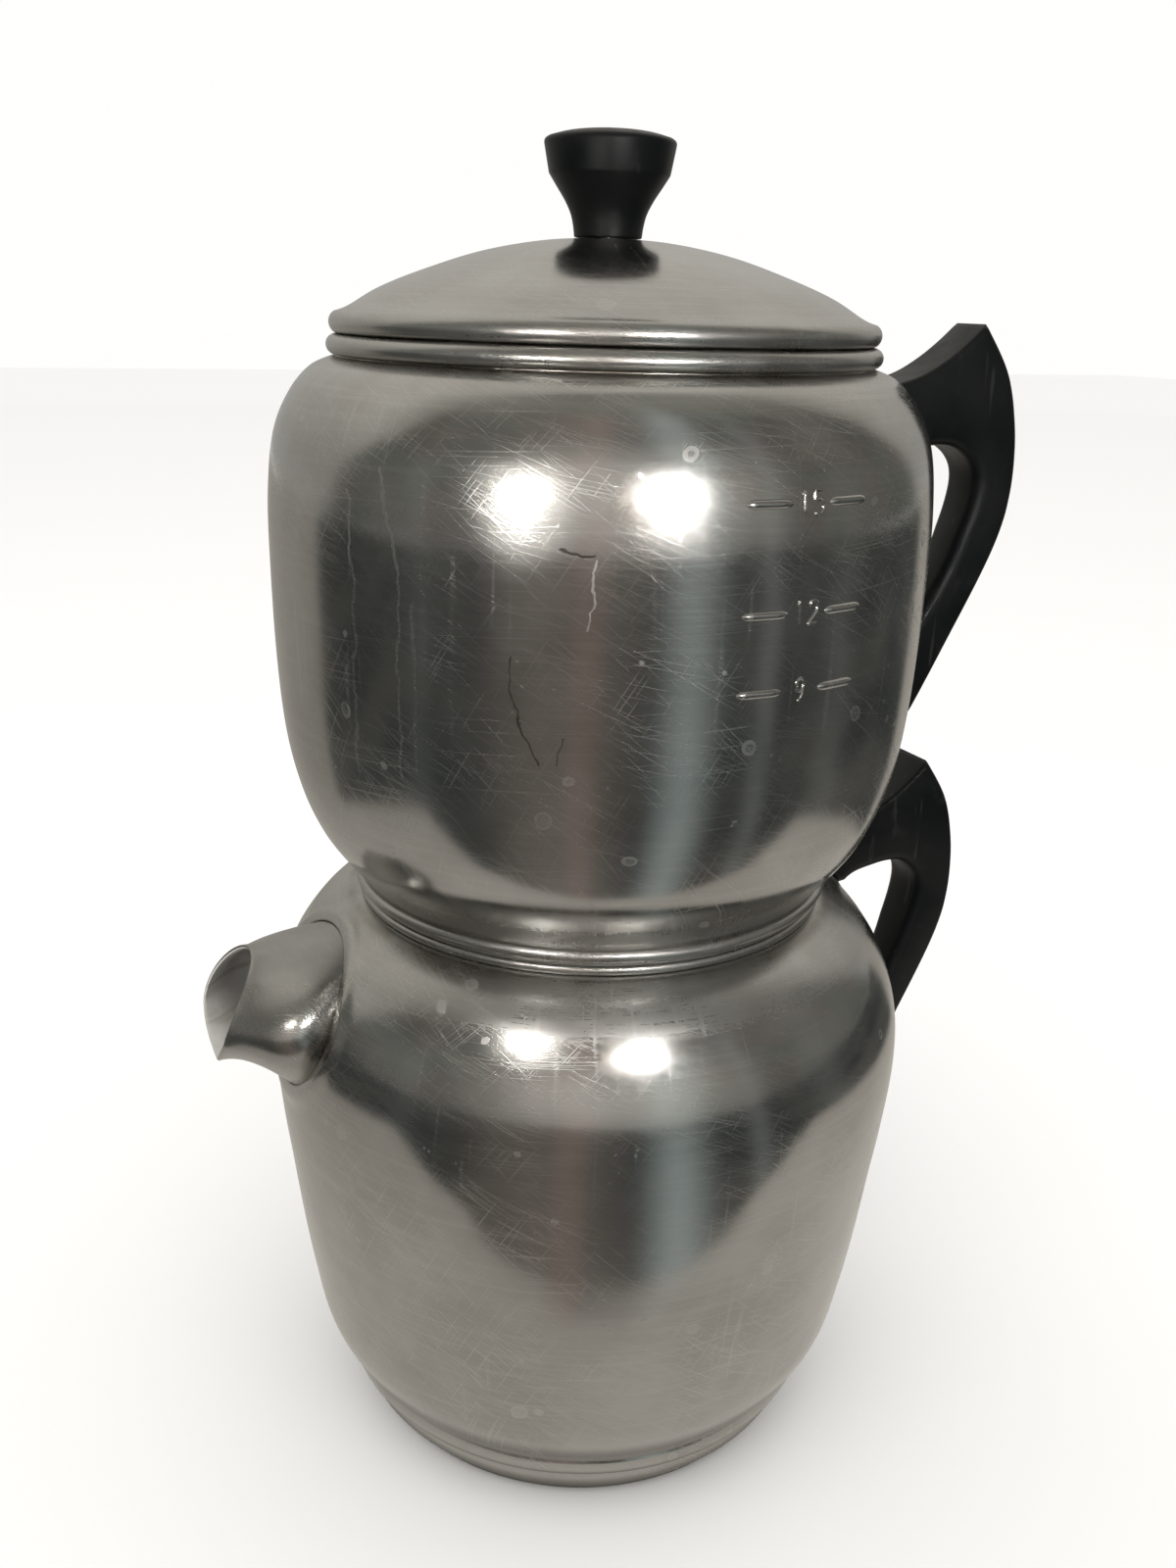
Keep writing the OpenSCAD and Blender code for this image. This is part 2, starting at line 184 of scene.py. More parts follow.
def new_piece(name, points, faces, sharp=40, lining=None):
    """Object from points in millimetres; edges sharper than sharp degrees stay crisp.

    lining(centre, normal) says which faces take the piece's second material.
    """
    mesh = bpy.data.meshes.new(name)
    mesh.from_pydata([tuple(float(c) * MM for c in p) for p in points], [], faces)
    mesh.validate()
    mesh.update()
    if lining:
        for face in mesh.polygons:
            face.material_index = int(lining(face.center / MM, face.normal))
    mesh.polygons.foreach_set("use_smooth", [True] * len(mesh.polygons))
    mesh.set_sharp_from_angle(angle=math.radians(sharp))
    piece = bpy.data.objects.new(name, mesh)
    bpy.context.scene.collection.objects.link(piece)
    return piece


def is_lining(wall, centre, normal):
    """True for a face on the inner side of a turned vessel's wall."""
    far = math.hypot(centre.x, centre.y)
    faces_axis = centre.x * normal.x + centre.y * normal.y < -0.2 * far
    return faces_axis and wall_radius(wall, centre.z) - far > LINING_DEPTH


def joined(name, parts, lining=None):
    """One object from several (points, faces) parts."""
    points, faces = [], []
    for part_points, part_faces in parts:
        start = len(points)
        points += [tuple(p) for p in part_points]
        faces += [tuple(start + i for i in f) for f in part_faces]
    return new_piece(name, points, faces, lining=lining)


def lathed(outline, around=288, shape=None):
    """(points, faces) of a closed outline turned about Z. Outline ends on the axis, or joins up.

    shape(point, normal) may move each point.
    """
    outline = np.array(outline, float)
    keep = [0]
    for i in range(1, len(outline)):
        if np.linalg.norm(outline[i] - outline[keep[-1]]) > 1e-3:
            keep.append(i)
    outline = outline[keep]
    on_axis = outline[0][0] < 1e-6
    n = len(outline)
    way = np.gradient(outline, axis=0)
    way /= np.linalg.norm(way, axis=1)[:, None]
    points, rows = [], []
    for i, (r, z) in enumerate(outline):
        if r < 1e-6:
            rows.append([len(points)] * around)
            points.append((0.0, 0.0, z))
            continue
        rows.append(list(range(len(points), len(points) + around)))
        for k in range(around):
            c, s = math.cos(2 * math.pi * k / around), math.sin(2 * math.pi * k / around)
            p = (r * c, r * s, z)
            if shape:
                p = shape(p, (way[i][1] * c, way[i][1] * s, -way[i][0]))
            points.append(p)
    faces = []
    for i in range(n - 1 if on_axis else n):
        low, high = rows[i], rows[(i + 1) % n]
        for k in range(around):
            j = (k + 1) % around
            ring = [low[k], low[j], high[j], high[k]]
            faces.append(tuple(dict.fromkeys(ring)))
    return points, faces


def dented(amount, size, seed):
    """Shape function: soft, shallow unevenness of spun sheet, in millimetres."""
    def shape(p, n):
        q = Vector(p) / size + Vector((seed, seed * 0.7, seed * 1.3))
        lift = amount * noise.noise(q) + 0.35 * amount * noise.noise(q * 2.3)
        return tuple(p[i] + lift * n[i] for i in range(3))
    return shape


def strip_quads(rows, count):
    """Quads between rows of points that each close on themselves, and a cap at either end."""
    quads = [(i * count + k, i * count + (k + 1) % count, (i + 1) * count + (k + 1) % count,
              (i + 1) * count + k) for i in range(rows - 1) for k in range(count)]
    last = (rows - 1) * count
    return quads + [tuple(reversed(range(count))), tuple(range(last, last + count))]


def tube(path, radius, sides=10):
    """(points, faces) of a tube with rounded ends along a path of 3-D points in millimetres."""
    path = [Vector(p) for p in path]
    points = []
    last = len(path) - 1
    for i, p in enumerate(path):
        way = (path[min(i + 1, last)] - path[max(i - 1, 0)]).normalized()
        side = way.orthogonal().normalized()
        if i:
            side = (old - old.dot(way) * way).normalized()
        old = side
        over = way.cross(side)
        ends = min(i, last - i) / 2
        r = radius * math.sin(math.pi / 2 * min(1, 0.25 + 0.75 * ends))
        for k in range(sides):
            w = 2 * math.pi * k / sides
            points.append(tuple(p + r * (math.cos(w) * side + math.sin(w) * over)))
    return points, strip_quads(len(path), sides)


# ---------------------------------------------------------------- server and spout

SEAM_OUT = Vector((-math.cos(SEAM_TIP), 0, math.sin(SEAM_TIP)))
SEAM_UP = Vector((math.sin(SEAM_TIP), 0, math.cos(SEAM_TIP)))
SEAM_CENTRE = Vector((SEAM_PLACE[0], 0, SEAM_PLACE[1]))
ACROSS = Vector((0, 1, 0))
COLLAR_RISE = 0.9
COLLAR_WIDTH = 1.9
COLLAR_OUT = 2.6


def seam_ring(turn, grow=0.0):
    """Point of the seam's oval at an angle from its top, in the plane through its centre."""
    return (SEAM_CENTRE + (SEAM_HIGH + grow) * math.cos(turn) * SEAM_UP
            + (SEAM_WIDE + grow) * math.sin(turn) * ACROSS)


def seam_distance(p):
    """Distance outside the seam's oval, the turn from its top, and the depth along its axis."""
    d = Vector(p) - SEAM_CENTRE
    up, across = d.dot(SEAM_UP) / SEAM_HIGH, d.y / SEAM_WIDE
    far = math.hypot(up, across)
    return (far - 1) * (SEAM_HIGH + SEAM_WIDE) / 2, math.atan2(across, up), d.dot(SEAM_OUT)


def on_wall_along_seam(ring, sunk=0.0):
    """Where a line along the seam's axis through a point meets the server's wall."""
    low, high = -28.0, 28.0
    for _ in range(40):
        mid = (low + high) / 2
        p = ring + mid * SEAM_OUT
        if math.hypot(p.x, p.y) < wall_radius(SERVER_WALL, p.z) - sunk:
            low = mid
        else:
            high = mid
    return ring + low * SEAM_OUT


SEAM_SNAP = 1.3
SERVER_DENTS = (0.10, 34, 3.1)
SERVER_AROUND = 432


def server_shape(p, n):
    """Dents of the server's wall, the raised collar round the seam, and a clean seam edge."""
    past, turn, out = seam_distance(p)
    if out < -30 or abs(past) > 14:
        return dented(*SERVER_DENTS)(p, n)
    if abs(past) < SEAM_SNAP:
        depth = wall_radius(SERVER_WALL, p[2]) - math.hypot(p[0], p[1])
        p = tuple(on_wall_along_seam(seam_ring(turn), max(depth, 0.0)))
        past = 0.0
    lift = COLLAR_RISE * math.exp(-(((past - COLLAR_OUT) / COLLAR_WIDTH) ** 2))
    p = dented(*SERVER_DENTS)(p, n)
    return tuple(p[i] + lift * n[i] for i in range(3))


def build_server():
    foot_sole = join_paths((0, 1.0), (51, 1.0), bulge((54, 0.6), (FOOT_R - 1, 0.6), 0.6))
    foot = join_paths(
        foot_sole, bulge((FOOT_R - 1, 0.6), (FOOT_LOW[0] - 0.7, FOOT_LOW[1] - 0.5), 1.2, 8),
        bulge((FOOT_LOW[0] - 0.7, FOOT_LOW[1] + 0.1), (FOOT_MID[0] - 0.9, FOOT_MID[1] - 0.3),
              1.9, 14),
        bulge((FOOT_MID[0] - 0.9, FOOT_MID[1] + 0.4), (FOOT_TOP[0] - 1.0, FOOT_TOP[1] - 1.2),
              1.9, 14))
    outer = join_paths(foot, SERVER_WALL, bead_arc(MOUTH_BEAD, -40, 215))
    inner = inset(SERVER_WALL, SHEET)[:-6][::-1]
    inner_foot = join_paths((FOOT_R + 7, 17), (FOOT_R + 1, 6), (FOOT_R - 3, 1 + SHEET),
                            (0, 1 + SHEET))
    outline = join_paths(outer, inner, inner_foot)
    points, faces = lathed(outline, around=SERVER_AROUND, shape=server_shape)
    past = [seam_distance(p) for p in points]
    inside = [d < 0.05 and out > -30 for d, _, out in past]
    faces = [f for f in faces if not all(inside[i] for i in f)]
    return new_piece("server", points, faces, lining=lambda c, n: is_lining(SERVER_WALL, c, n))


MOUTH_TOP, MOUTH_LOW, MOUTH_HALF = 151.8, 121.6, 14.8
LIP_T = 1.0


def mouth_point(turn, thick):
    """Point of the pouring mouth's edge at an angle from its top; its low end is pinched."""
    u = (1 + math.cos(turn)) / 2
    x = -105.5 - 8.6 * u + 23.0 * u * u - 4.4 * u ** 3
    pinch = min(1.0, u / 0.35 + 1e-3) ** 0.35
    z = MOUTH_LOW + (MOUTH_TOP - MOUTH_LOW) * u - thick * math.cos(turn)
    return Vector((x, (MOUTH_HALF - thick) * math.sin(turn) * pinch, z))


def build_spout():
    """Bulging loft from the seam to the mouth, with a rolled lip and a lining."""
    sides, stations = 128, 30

    def ring(s, thick):
        points = []
        for k in range(sides):
            turn = 2 * math.pi * k / sides
            top, low = max(math.cos(turn), 0) ** 2, max(-math.cos(turn), 0) ** 2
            side = 1 - top - low
            root = on_wall_along_seam(seam_ring(turn, -thick), 0.45)
            tip = mouth_point(turn, thick)
            reach = (tip - root).length
            leave = (top * Vector((-0.93, 0, -0.22)) + low * Vector((-0.66, 0, 0.75))
                     + side * Vector((-0.90, 0.52 * math.sin(turn), 0.14)))
            arrive = (top * Vector((-1.0, 0, 0.10)) + low * Vector((-0.98, 0, -0.16))
                      + side * Vector((-0.66, -0.60 * math.sin(turn), -0.12)))
            start = root + leave * reach * (0.34 + 0.20 * side)
            end = tip - arrive * reach * (0.36 + 0.06 * side)
            u = 1 - s
            p = root * u ** 3 + start * 3 * s * u * u + end * 3 * s * s * u + tip * s ** 3
            points.append(tuple(p))
        return points

    steps = [i / stations for i in range(stations + 1)]
    outer = [ring(s, 0.0) for s in steps]
    lip = [ring(1.0, LIP_T * w) for w in (0.25, 0.75)]
    lip = [[tuple(Vector(p) + 0.35 * SEAM_OUT) for p in r] for r in lip]
    inner = [ring(s, LIP_T) for s in reversed(steps)]
    rings = outer + lip + inner
    points = [p for r in rings for p in r]
    faces = []
    total = len(rings)
    for i in range(total):
        for k in range(sides):
            j = (k + 1) % sides
            a, b = i * sides, ((i + 1) % total) * sides
            faces.append((a + k, b + k, b + j, a + j))
    first_inner = (len(outer) + len(lip) - 1) * sides
    piece = new_piece("pouring_spout", points, faces, sharp=60)
    for face in piece.data.polygons:
        face.material_index = int(face.index >= first_inner and face.index < (total - 1) * sides)
    return piece


# ---------------------------------------------------------------- water container


def on_container(azimuth, z, lift=0.0):
    """Point on the container's wall before it is turned."""
    r = wall_radius(CONTAINER_WALL, z)
    radial, upward = wall_slope(CONTAINER_WALL, z)
    r += lift * radial
    return (r * math.cos(azimuth), r * math.sin(azimuth), z + lift * upward)


FIGURES = {
    "1": [(0.25, 0.78), (0.5, 1), (0.5, 0.5), (0.5, 0)],
    "2": [(0.02, 0.74), (0.2, 0.96), (0.55, 1.0), (0.9, 0.84), (0.86, 0.58), (0.45, 0.28),
          (0.0, 0.0), (0.5, 0.0), (1.0, 0.0)],
    "5": [(0.92, 1), (0.5, 1), (0.14, 1), (0.06, 0.56), (0.5, 0.62), (0.9, 0.46), (0.94, 0.22),
          (0.62, 0.02), (0.25, 0.0), (0.0, 0.12)],
    "9": [(0.9, 0.7), (0.72, 0.95), (0.4, 1), (0.1, 0.86), (0.08, 0.6), (0.36, 0.44),
          (0.72, 0.5), (0.92, 0.72), (0.86, 0.36), (0.66, 0.1), (0.3, 0.0)],
}


def level_marks():
    """Raised dashes and figures of the level marks, as parts."""
    parts = []
    for figures, height in LEVELS.items():
        z = SEAT + height
        r = wall_radius(CONTAINER_WALL, z)
        for side in (-1, 1):
            middle = LEVEL_AZIMUTH + side * DASH_OFFSET
            half = DASH_LENGTH / 2 / r
            path = [on_container(middle + half * w, z, -0.35) for w in np.linspace(-1, 1, 13)]
            parts.append(tube(path, 1.1, 12))
        width = 0.52 * FIGURE_HEIGHT
        gap = 0.24 * FIGURE_HEIGHT
        start = -(len(figures) * width + (len(figures) - 1) * gap) / 2
        for i, figure in enumerate(figures):
            left = start + i * (width + gap)
            path = [on_container(LEVEL_AZIMUTH + (left + x * width) / r,
                                 z + (y - 0.5) * FIGURE_HEIGHT, -0.12)
                    for x, y in spline(FIGURES[figure], 4)]
            parts.append(tube(path, 0.42, 8))
    return parts


DRIP_ROWS = [DRIP_PLACE + 0.7 * j for j in range(-4, 5)]
DRIP_PATCH = 8
CONTAINER_AROUND = 384


def with_drip_holes(points, faces):
    """A lathed container with holes through its bottom, as (points, faces).

    The outline has DRIP_ROWS next to the axis at both ends. On both faces of the sheet, a patch
    of that grid round each hole gives way to rings of quads that end at the hole's edge.
    """
    last, high, wide = len(points) - 1, len(DRIP_ROWS) - 1, DRIP_PATCH
    loop = ([(0, k) for k in range(-wide, wide)] + [(j, wide) for j in range(high)]
            + [(high, k) for k in range(wide, -wide, -1)]
            + [(j, -wide) for j in range(high, 0, -1)])
    turns = [(i, (i + 1) % len(loop)) for i in range(len(loop))]
    gone, added = set(), []
    for hole in range(DRIP_HOLES):
        middle = hole * CONTAINER_AROUND // DRIP_HOLES
        azimuth = 2 * math.pi * hole / DRIP_HOLES
        x, y = DRIP_PLACE * math.cos(azimuth), DRIP_PLACE * math.sin(azimuth)
        edges = []
        for top in (False, True):
            def grid(j, k):
                row = last - CONTAINER_AROUND * (j + 1) if top else 1 + CONTAINER_AROUND * j
                return row + (middle + k) % CONTAINER_AROUND
            gone |= {frozenset((grid(j, k), grid(j + 1, k), grid(j + 1, k + 1), grid(j, k + 1)))
                     for j in range(high) for k in range(-wide, wide)}
            outer = border = [grid(j, k) for j, k in loop]
            level = points[grid(high // 2, 0)][2]
            for share in (0.5, 1.0):
                inner = list(range(len(points), len(points) + len(loop)))
                for i in border:
                    px, py, pz = points[i]
                    pull = 1 + share * (DRIP_RADIUS / math.hypot(px - x, py - y) - 1)
                    points.append((x + pull * (px - x), y + pull * (py - y),
                                   pz + share * (level - pz)))
                quads = [(outer[i], outer[n], inner[n], inner[i]) for i, n in turns]
                added += [quad[::-1] for quad in quads] if top else quads
                outer = inner
            edges.append(inner)
        low, up = edges
        added += [(low[i], low[n], up[n], up[i]) for i, n in turns]
    faces = [f for f in faces if frozenset(f) not in gone] + added
    used = {old: new for new, old in enumerate(sorted({i for f in faces for i in f}))}
    return [points[old] for old in used], [tuple(used[i] for i in f) for f in faces]


def build_container():
    wall_in = inset(CONTAINER_WALL, SHEET)
    floor = SEAT - SPIGOT_DEPTH
    outline = join_paths(
        (0, floor), [(r, floor) for r in DRIP_ROWS], (SPIGOT_R - 2.4, floor),
        bulge((SPIGOT_R - 2, floor), (SPIGOT_R, floor + 2), 0.7),
        (SPIGOT_R, SEAT - 0.6), bulge((SPIGOT_R + 0.1, SEAT - 0.3), (SPIGOT_R + 1, SEAT), -0.2, 3),
        bead_arc(NECK_BEAD, -90, 62), CONTAINER_WALL[1:-1],
        bead_arc(RIM_BEAD, -78, 200), wall_in[3:-6][::-1],
        (NECK_BEAD[0] - 0.6, SEAT + 3.2), (NECK_BEAD[0] - 3.2, SEAT + SHEET),
        (SPIGOT_R - 0.6, SEAT + SHEET), (SPIGOT_R - SHEET, SEAT + 0.6),
        (SPIGOT_R - SHEET, floor + 2.6), (SPIGOT_R - 2.6, floor + SHEET),
        [(r, floor + SHEET) for r in DRIP_ROWS[::-1]], (0, floor + SHEET))
    body = lathed(outline, CONTAINER_AROUND, shape=dented(0.11, 32, 7.7))
    body = with_drip_holes(*body)
    piece = joined("container", [body] + level_marks(), lambda c, n: (
        SEAT + 4 < c.z < RIM - 5.5 and is_lining(CONTAINER_WALL, c, n)))
    piece.data.transform(Matrix.Rotation(CONTAINER_TURN, 4, "Z"))
    return piece


# ---------------------------------------------------------------- lid and knob


def build_lid():
    edge = RIM + 0.1
    collar = 63.3
    under = inset(LID_DOME, SHEET)
    under = under[(under[:, 0] < collar - 2.5) & (under[:, 0] > 3)]
    outline = join_paths(
        (0, LID_TOP), LID_DOME[:-1][::-1],
        bulge((66.6, RIM + 5.2), (66.9, edge + 0.3), -1.25, 12), (66.2, edge),
        (collar + 0.4, edge), (collar, edge - 0.4), (collar, RIM - 6.3),
        bulge((collar, RIM - 6.3), (collar - 1, RIM - 6.3), -0.4, 6),
        (collar - 1, RIM + 3.5), under, (0, LID_TOP - SHEET))
    return new_piece("lid_shell", *lathed(outline[::-1], around=288, shape=dented(0.07, 26, 1.9)))


def build_knob():
    """Flared knob with flat upper sides and a shallow crown."""
    base, top = KNOB_FOOT, KNOB_TOP
    neck = spline([(8.3, base + 0.2), (8.6, base + 2.6), (9.3, base + 5.4), (10.8, base + 8.4),
                   (12.9, base + 11.6), (14.6, base + 14.2)], 6)
    outline = join_paths(
        (0, base), (8.0, base), neck, (14.75, base + 14.6), (15.9, top - 3.4),
        bulge((15.95, top - 3.0), (15.2, top - 1.9), 0.22, 5),
        spline([(15.0, top - 1.75), (11, top - 0.7), (6, top - 0.12), (0, top)], 5))
    return new_piece("knob", *lathed(outline, around=160), sharp=25)


# ---------------------------------------------------------------- handles and straps

HANDLE_OUTER = spline([(6.5, -113), (12.2, -101), (18.4, -87), (26.6, -68), (30.8, -56),
                       (32.6, -46), (32.8, -36), (31.4, -25), (27.5, -12), (19.5, 0)])
HANDLE_TOP = spline([(19.5, 0), (14.5, -4.7), (9, -9), (3, -12.6), (-3, -14.8), (-9, -16),
                     (-14, -16.8)])
HANDLE_GAP = spline([(-8, -36), (-3.2, -33.7), (2.4, -32.4), (8.1, -31.6), (13.5, -31.9),
                     (17.9, -34.5), (20.5, -38), (21.3, -42.5), (20.3, -49), (18.4, -55.3),
                     (15.8, -63.6), (11.5, -73), (6, -83), (0, -92)])
EDGE_OUTER = 1.5
EDGE_GAP = 3.6


def evenly(path, step):
    """The path with points at even spacing."""
    path = np.array(path, float)
    far = np.concatenate([[0], np.cumsum(np.linalg.norm(np.diff(path, axis=0), axis=1))])
    count = max(2, int(round(far[-1] / step)) + 1)
    at = np.linspace(0, far[-1], count)
    return np.stack([np.interp(at, far, path[:, i]) for i in range(2)], 1)


def handle_outline(wall, tip):
    """Closed side outline of a handle, as (radius, height), and its edge radius at each point."""
    big = wall[:, 0].max()

    def seat_line(high, low):
        heights = np.linspace(high, low, 24)
        return [(wall_radius(wall, tip + h) + STRAP_T - 0.3, tip + h) for h in heights]

    def placed(path):
        return [(big + x, tip + z) for x, z in path]

    def outside(path):
        return [p for p in path if p[0] > wall_radius(wall, p[1]) + STRAP_T - 0.3]

    outer = placed(HANDLE_OUTER)
    top = outside(placed(HANDLE_TOP))
    gap = outside(placed(HANDLE_GAP))
    upper = seat_line(top[-1][1] - tip - 0.8, gap[0][1] - tip + 0.8)
    lower = seat_line(gap[-1][1] - tip - 0.8, -113)
    stretches = [(outer, EDGE_OUTER), (top, EDGE_OUTER), (upper, 0.6), (gap, EDGE_GAP),
                 (lower, 0.6), ([lower[-1], outer[0]], EDGE_OUTER)]
    points, edges = [], []
    for path, edge in stretches:
        even = evenly(path, 1.4)[:-1]
        points.append(even)
        edges += [edge] * len(even)
    points = np.concatenate(points)
    edges = np.array(edges, float)
    for _ in range(5):
        edges = (np.roll(edges, 1) + edges + np.roll(edges, -1)) / 3
    return points, edges


def handle_half_width(below_tip):
    """Half the handle's width at a depth below its tip; it narrows to a round end."""
    width = np.interp(below_tip, [-2, 20, 50, 82, 104], [8.6, 9, 8.6, 7, 6])
    end = np.clip((113.6 - below_tip) / 9.6, 0, 1)
    round_end = np.sqrt(np.clip(1 - (1 - end) ** 2, 0.01, 1))
    return width * round_end


def build_handle(name, wall, tip, turn):
    outline, edges = handle_outline(wall, tip)
    n = len(outline)
    starts, ends = outline, np.roll(outline, -1, axis=0)
    way = np.roll(outline, -1, axis=0) - np.roll(outline, 1, axis=0)
    way /= np.linalg.norm(way, axis=1)[:, None]
    inward = np.stack([-way[:, 1], way[:, 0]], 1)

    def clearance(points):
        """Distance of each point to the outline, and the nearest outline point."""
        d = ends - starts
        rel = points[:, None, :] - starts[None]
        t = np.clip((rel * d).sum(2) / (d * d).sum(1), 0, 1)
        gap = np.linalg.norm(rel - t[..., None] * d, axis=2)
        return gap.min(1), gap.argmin(1)

    def inside(points):
        x, z = points[:, 0][:, None], points[:, 1][:, None]
        crosses = (starts[:, 1] > z) != (ends[:, 1] > z)
        with np.errstate(divide="ignore", invalid="ignore"):
            at = starts[:, 0] + (z - starts[:, 1]) / (ends[:, 1] - starts[:, 1]) * (
                ends[:, 0] - starts[:, 0])
        return (crosses & (x < at)).sum(1) % 2 == 1

    extra = []
    for turn_in in np.radians([20, 38, 55, 72, 90]):
        moved = outline + inward * (edges * (1 - math.cos(turn_in)))[:, None]
        far, _ = clearance(moved)
        good = (far > 0.96 * edges * (1 - math.cos(turn_in))) & inside(moved)
        extra.append(moved[good])
    low, high = outline.min(0), outline.max(0)
    xs, zs = np.arange(low[0], high[0], 2.2), np.arange(low[1], high[1], 2.2)
    grid = np.array([(x + 0.55 * (i % 2), z) for i, z in enumerate(zs) for x in xs])
    grid = grid[inside(grid)]
    far, near = clearance(grid)
    extra.append(grid[far > edges[near] + 1.0])
    flat = np.concatenate([outline] + extra)
    points2, _, tris, *_ = delaunay_2d_cdt(
        [Vector(p) for p in flat], [(i, (i + 1) % n) for i in range(n)], [list(range(n))], 1, 1e-6)
    cap = np.array([tuple(p) for p in points2])
    far, near = clearance(cap)
    edge = edges[near]
    depth = np.clip(far / edge, 0, 1)
    half = handle_half_width(tip - cap[:, 1])
    crown = half - edge * (1 - np.sqrt(1 - (1 - depth) ** 2))
    crown += 0.35 * np.clip((far - edge) / 6, 0, 1)
    count = len(cap)
    points = [(cap[i][0], -crown[i], cap[i][1]) for i in range(count)]
    points += [(cap[i][0], crown[i], cap[i][1]) for i in range(count)]
    faces = [tuple(f) for f in tris] + [tuple(i + count for i in reversed(f)) for f in tris]
    border = [(i, (i + 1) % n) for i in range(n)]
    faces += [(a, a + count, b + count, b) for a, b in border]
    return fitting(name, points, faces, turn)


def fitting(name, points, faces, turn):
    """A handle's or strap's piece, turned round the axis, with every face outward."""
    piece = new_piece(name, points, faces, sharp=50)
    mesh = bmesh.new()
    mesh.from_mesh(piece.data)
    bmesh.ops.remove_doubles(mesh, verts=mesh.verts, dist=1e-6)
    bmesh.ops.recalc_face_normals(mesh, faces=mesh.faces)
    mesh.to_mesh(piece.data)
    mesh.free()
    piece.data.update()
    piece.data.transform(Matrix.Rotation(turn, 4, "Z"))
    return piece


def build_strap(name, wall, low, high, turn):
    """Thin strip on the wall behind a handle, with rounded edges and corners."""
    along, corner, soft = 60, 4.0, 0.45
    half, thick = STRAP_W / 2, STRAP_T
    points = []
    section = [(-1, 0), (-1, 0.55), (-0.97, 0.85), (-0.92, 1)]
    section += [(w, 1) for w in np.linspace(-0.8, 0.8, 9)]
    section += [(0.92, 1), (0.97, 0.85), (1, 0.55), (1, 0)]
    heights = low + (high - low) * (0.5 - 0.5 * np.cos(np.linspace(0, math.pi, along)))
    for z in heights:
        past = min(z - low, high - z)
        narrow = 1 - (1 - math.sqrt(max(0.02, 1 - (1 - min(past / corner, 1)) ** 2))) * 0.55
        lift_end = min(1, 0.35 + past / soft)
        r0 = wall_radius(wall, z)
        radial, upward = wall_slope(wall, z)
        for w, up in section:
            lift = -0.1 + up * (thick + 0.1) * lift_end
            r, y = r0 + lift * radial, w * half * narrow
            a = y / r0
            points.append((r * math.cos(a), r * math.sin(a), z + lift * upward))
    return fitting(name, points, strip_quads(len(heights), len(section)), turn)


# ---------------------------------------------------------------- materials

WALL_ARC = 0.085
STROKE_SHAKE = 0.004

# Where soil gathers: height, reach either way, and strength
GRIME = [(SEAT + 136.6, 1.0, 0.6), (RIM + 0.2, 0.6, 0.8), (SEAT + 4.4, 0.9, 0.6),
         (SERVER_TOP - 3.4, 1.2, 0.55), (FOOT_TOP[1] - 0.6, 0.9, 0.8),
         (FOOT_MID[1] - 0.1, 0.8, 0.8), (FOOT_LOW[1] - 0.3, 0.6, 0.7)]

# Turned edges with a duller gloss: height and reach either way
DULL = [(RIM - 0.5, 7.5), (SEAT - 1.0, 14.0)]

# Directions of fine scratches: angle in degrees, length and width in millimetres, and seed
HAIRLINES = [(-31, 26, 0.34, 1.1), (-24, 38, 0.30, 2.9), (-42, 18, 0.36, 4.3),
             (3, 44, 0.32, 5.9), (57, 18, 0.36, 7.7), (-11, 30, 0.30, 9.1)]

# Marks on the container's wall, each from (azimuth, height) to (azimuth, height) in degrees and
# millimetres: half width and strength; azimuth 0 is towards -Y
PALE_MARKS = [((-65.6, 272), (-64.0, 250), 0.45, 0.5), ((-64.0, 250), (-65.6, 208), 0.45, 0.5),
              ((-58.8, 277), (-55.4, 256), 0.5, 0.6), ((-55.4, 256), (-56.0, 210), 0.4, 0.55),
              ((-52.7, 250), (-53.0, 212), 0.35, 0.35), ((-25.4, 261), (-26.0, 248), 0.3, 0.7)]
DARK_MARKS = [((-37.5, 241), (-36.4, 228), 0.22, 0.5), ((-36.4, 228), (-33.0, 217), 0.25, 0.65),
              ((-29.6, 224), (-30.2, 217.5), 0.2, 0.5), ((-30.3, 264), (-25.8, 262.3), 0.28, 0.7)]


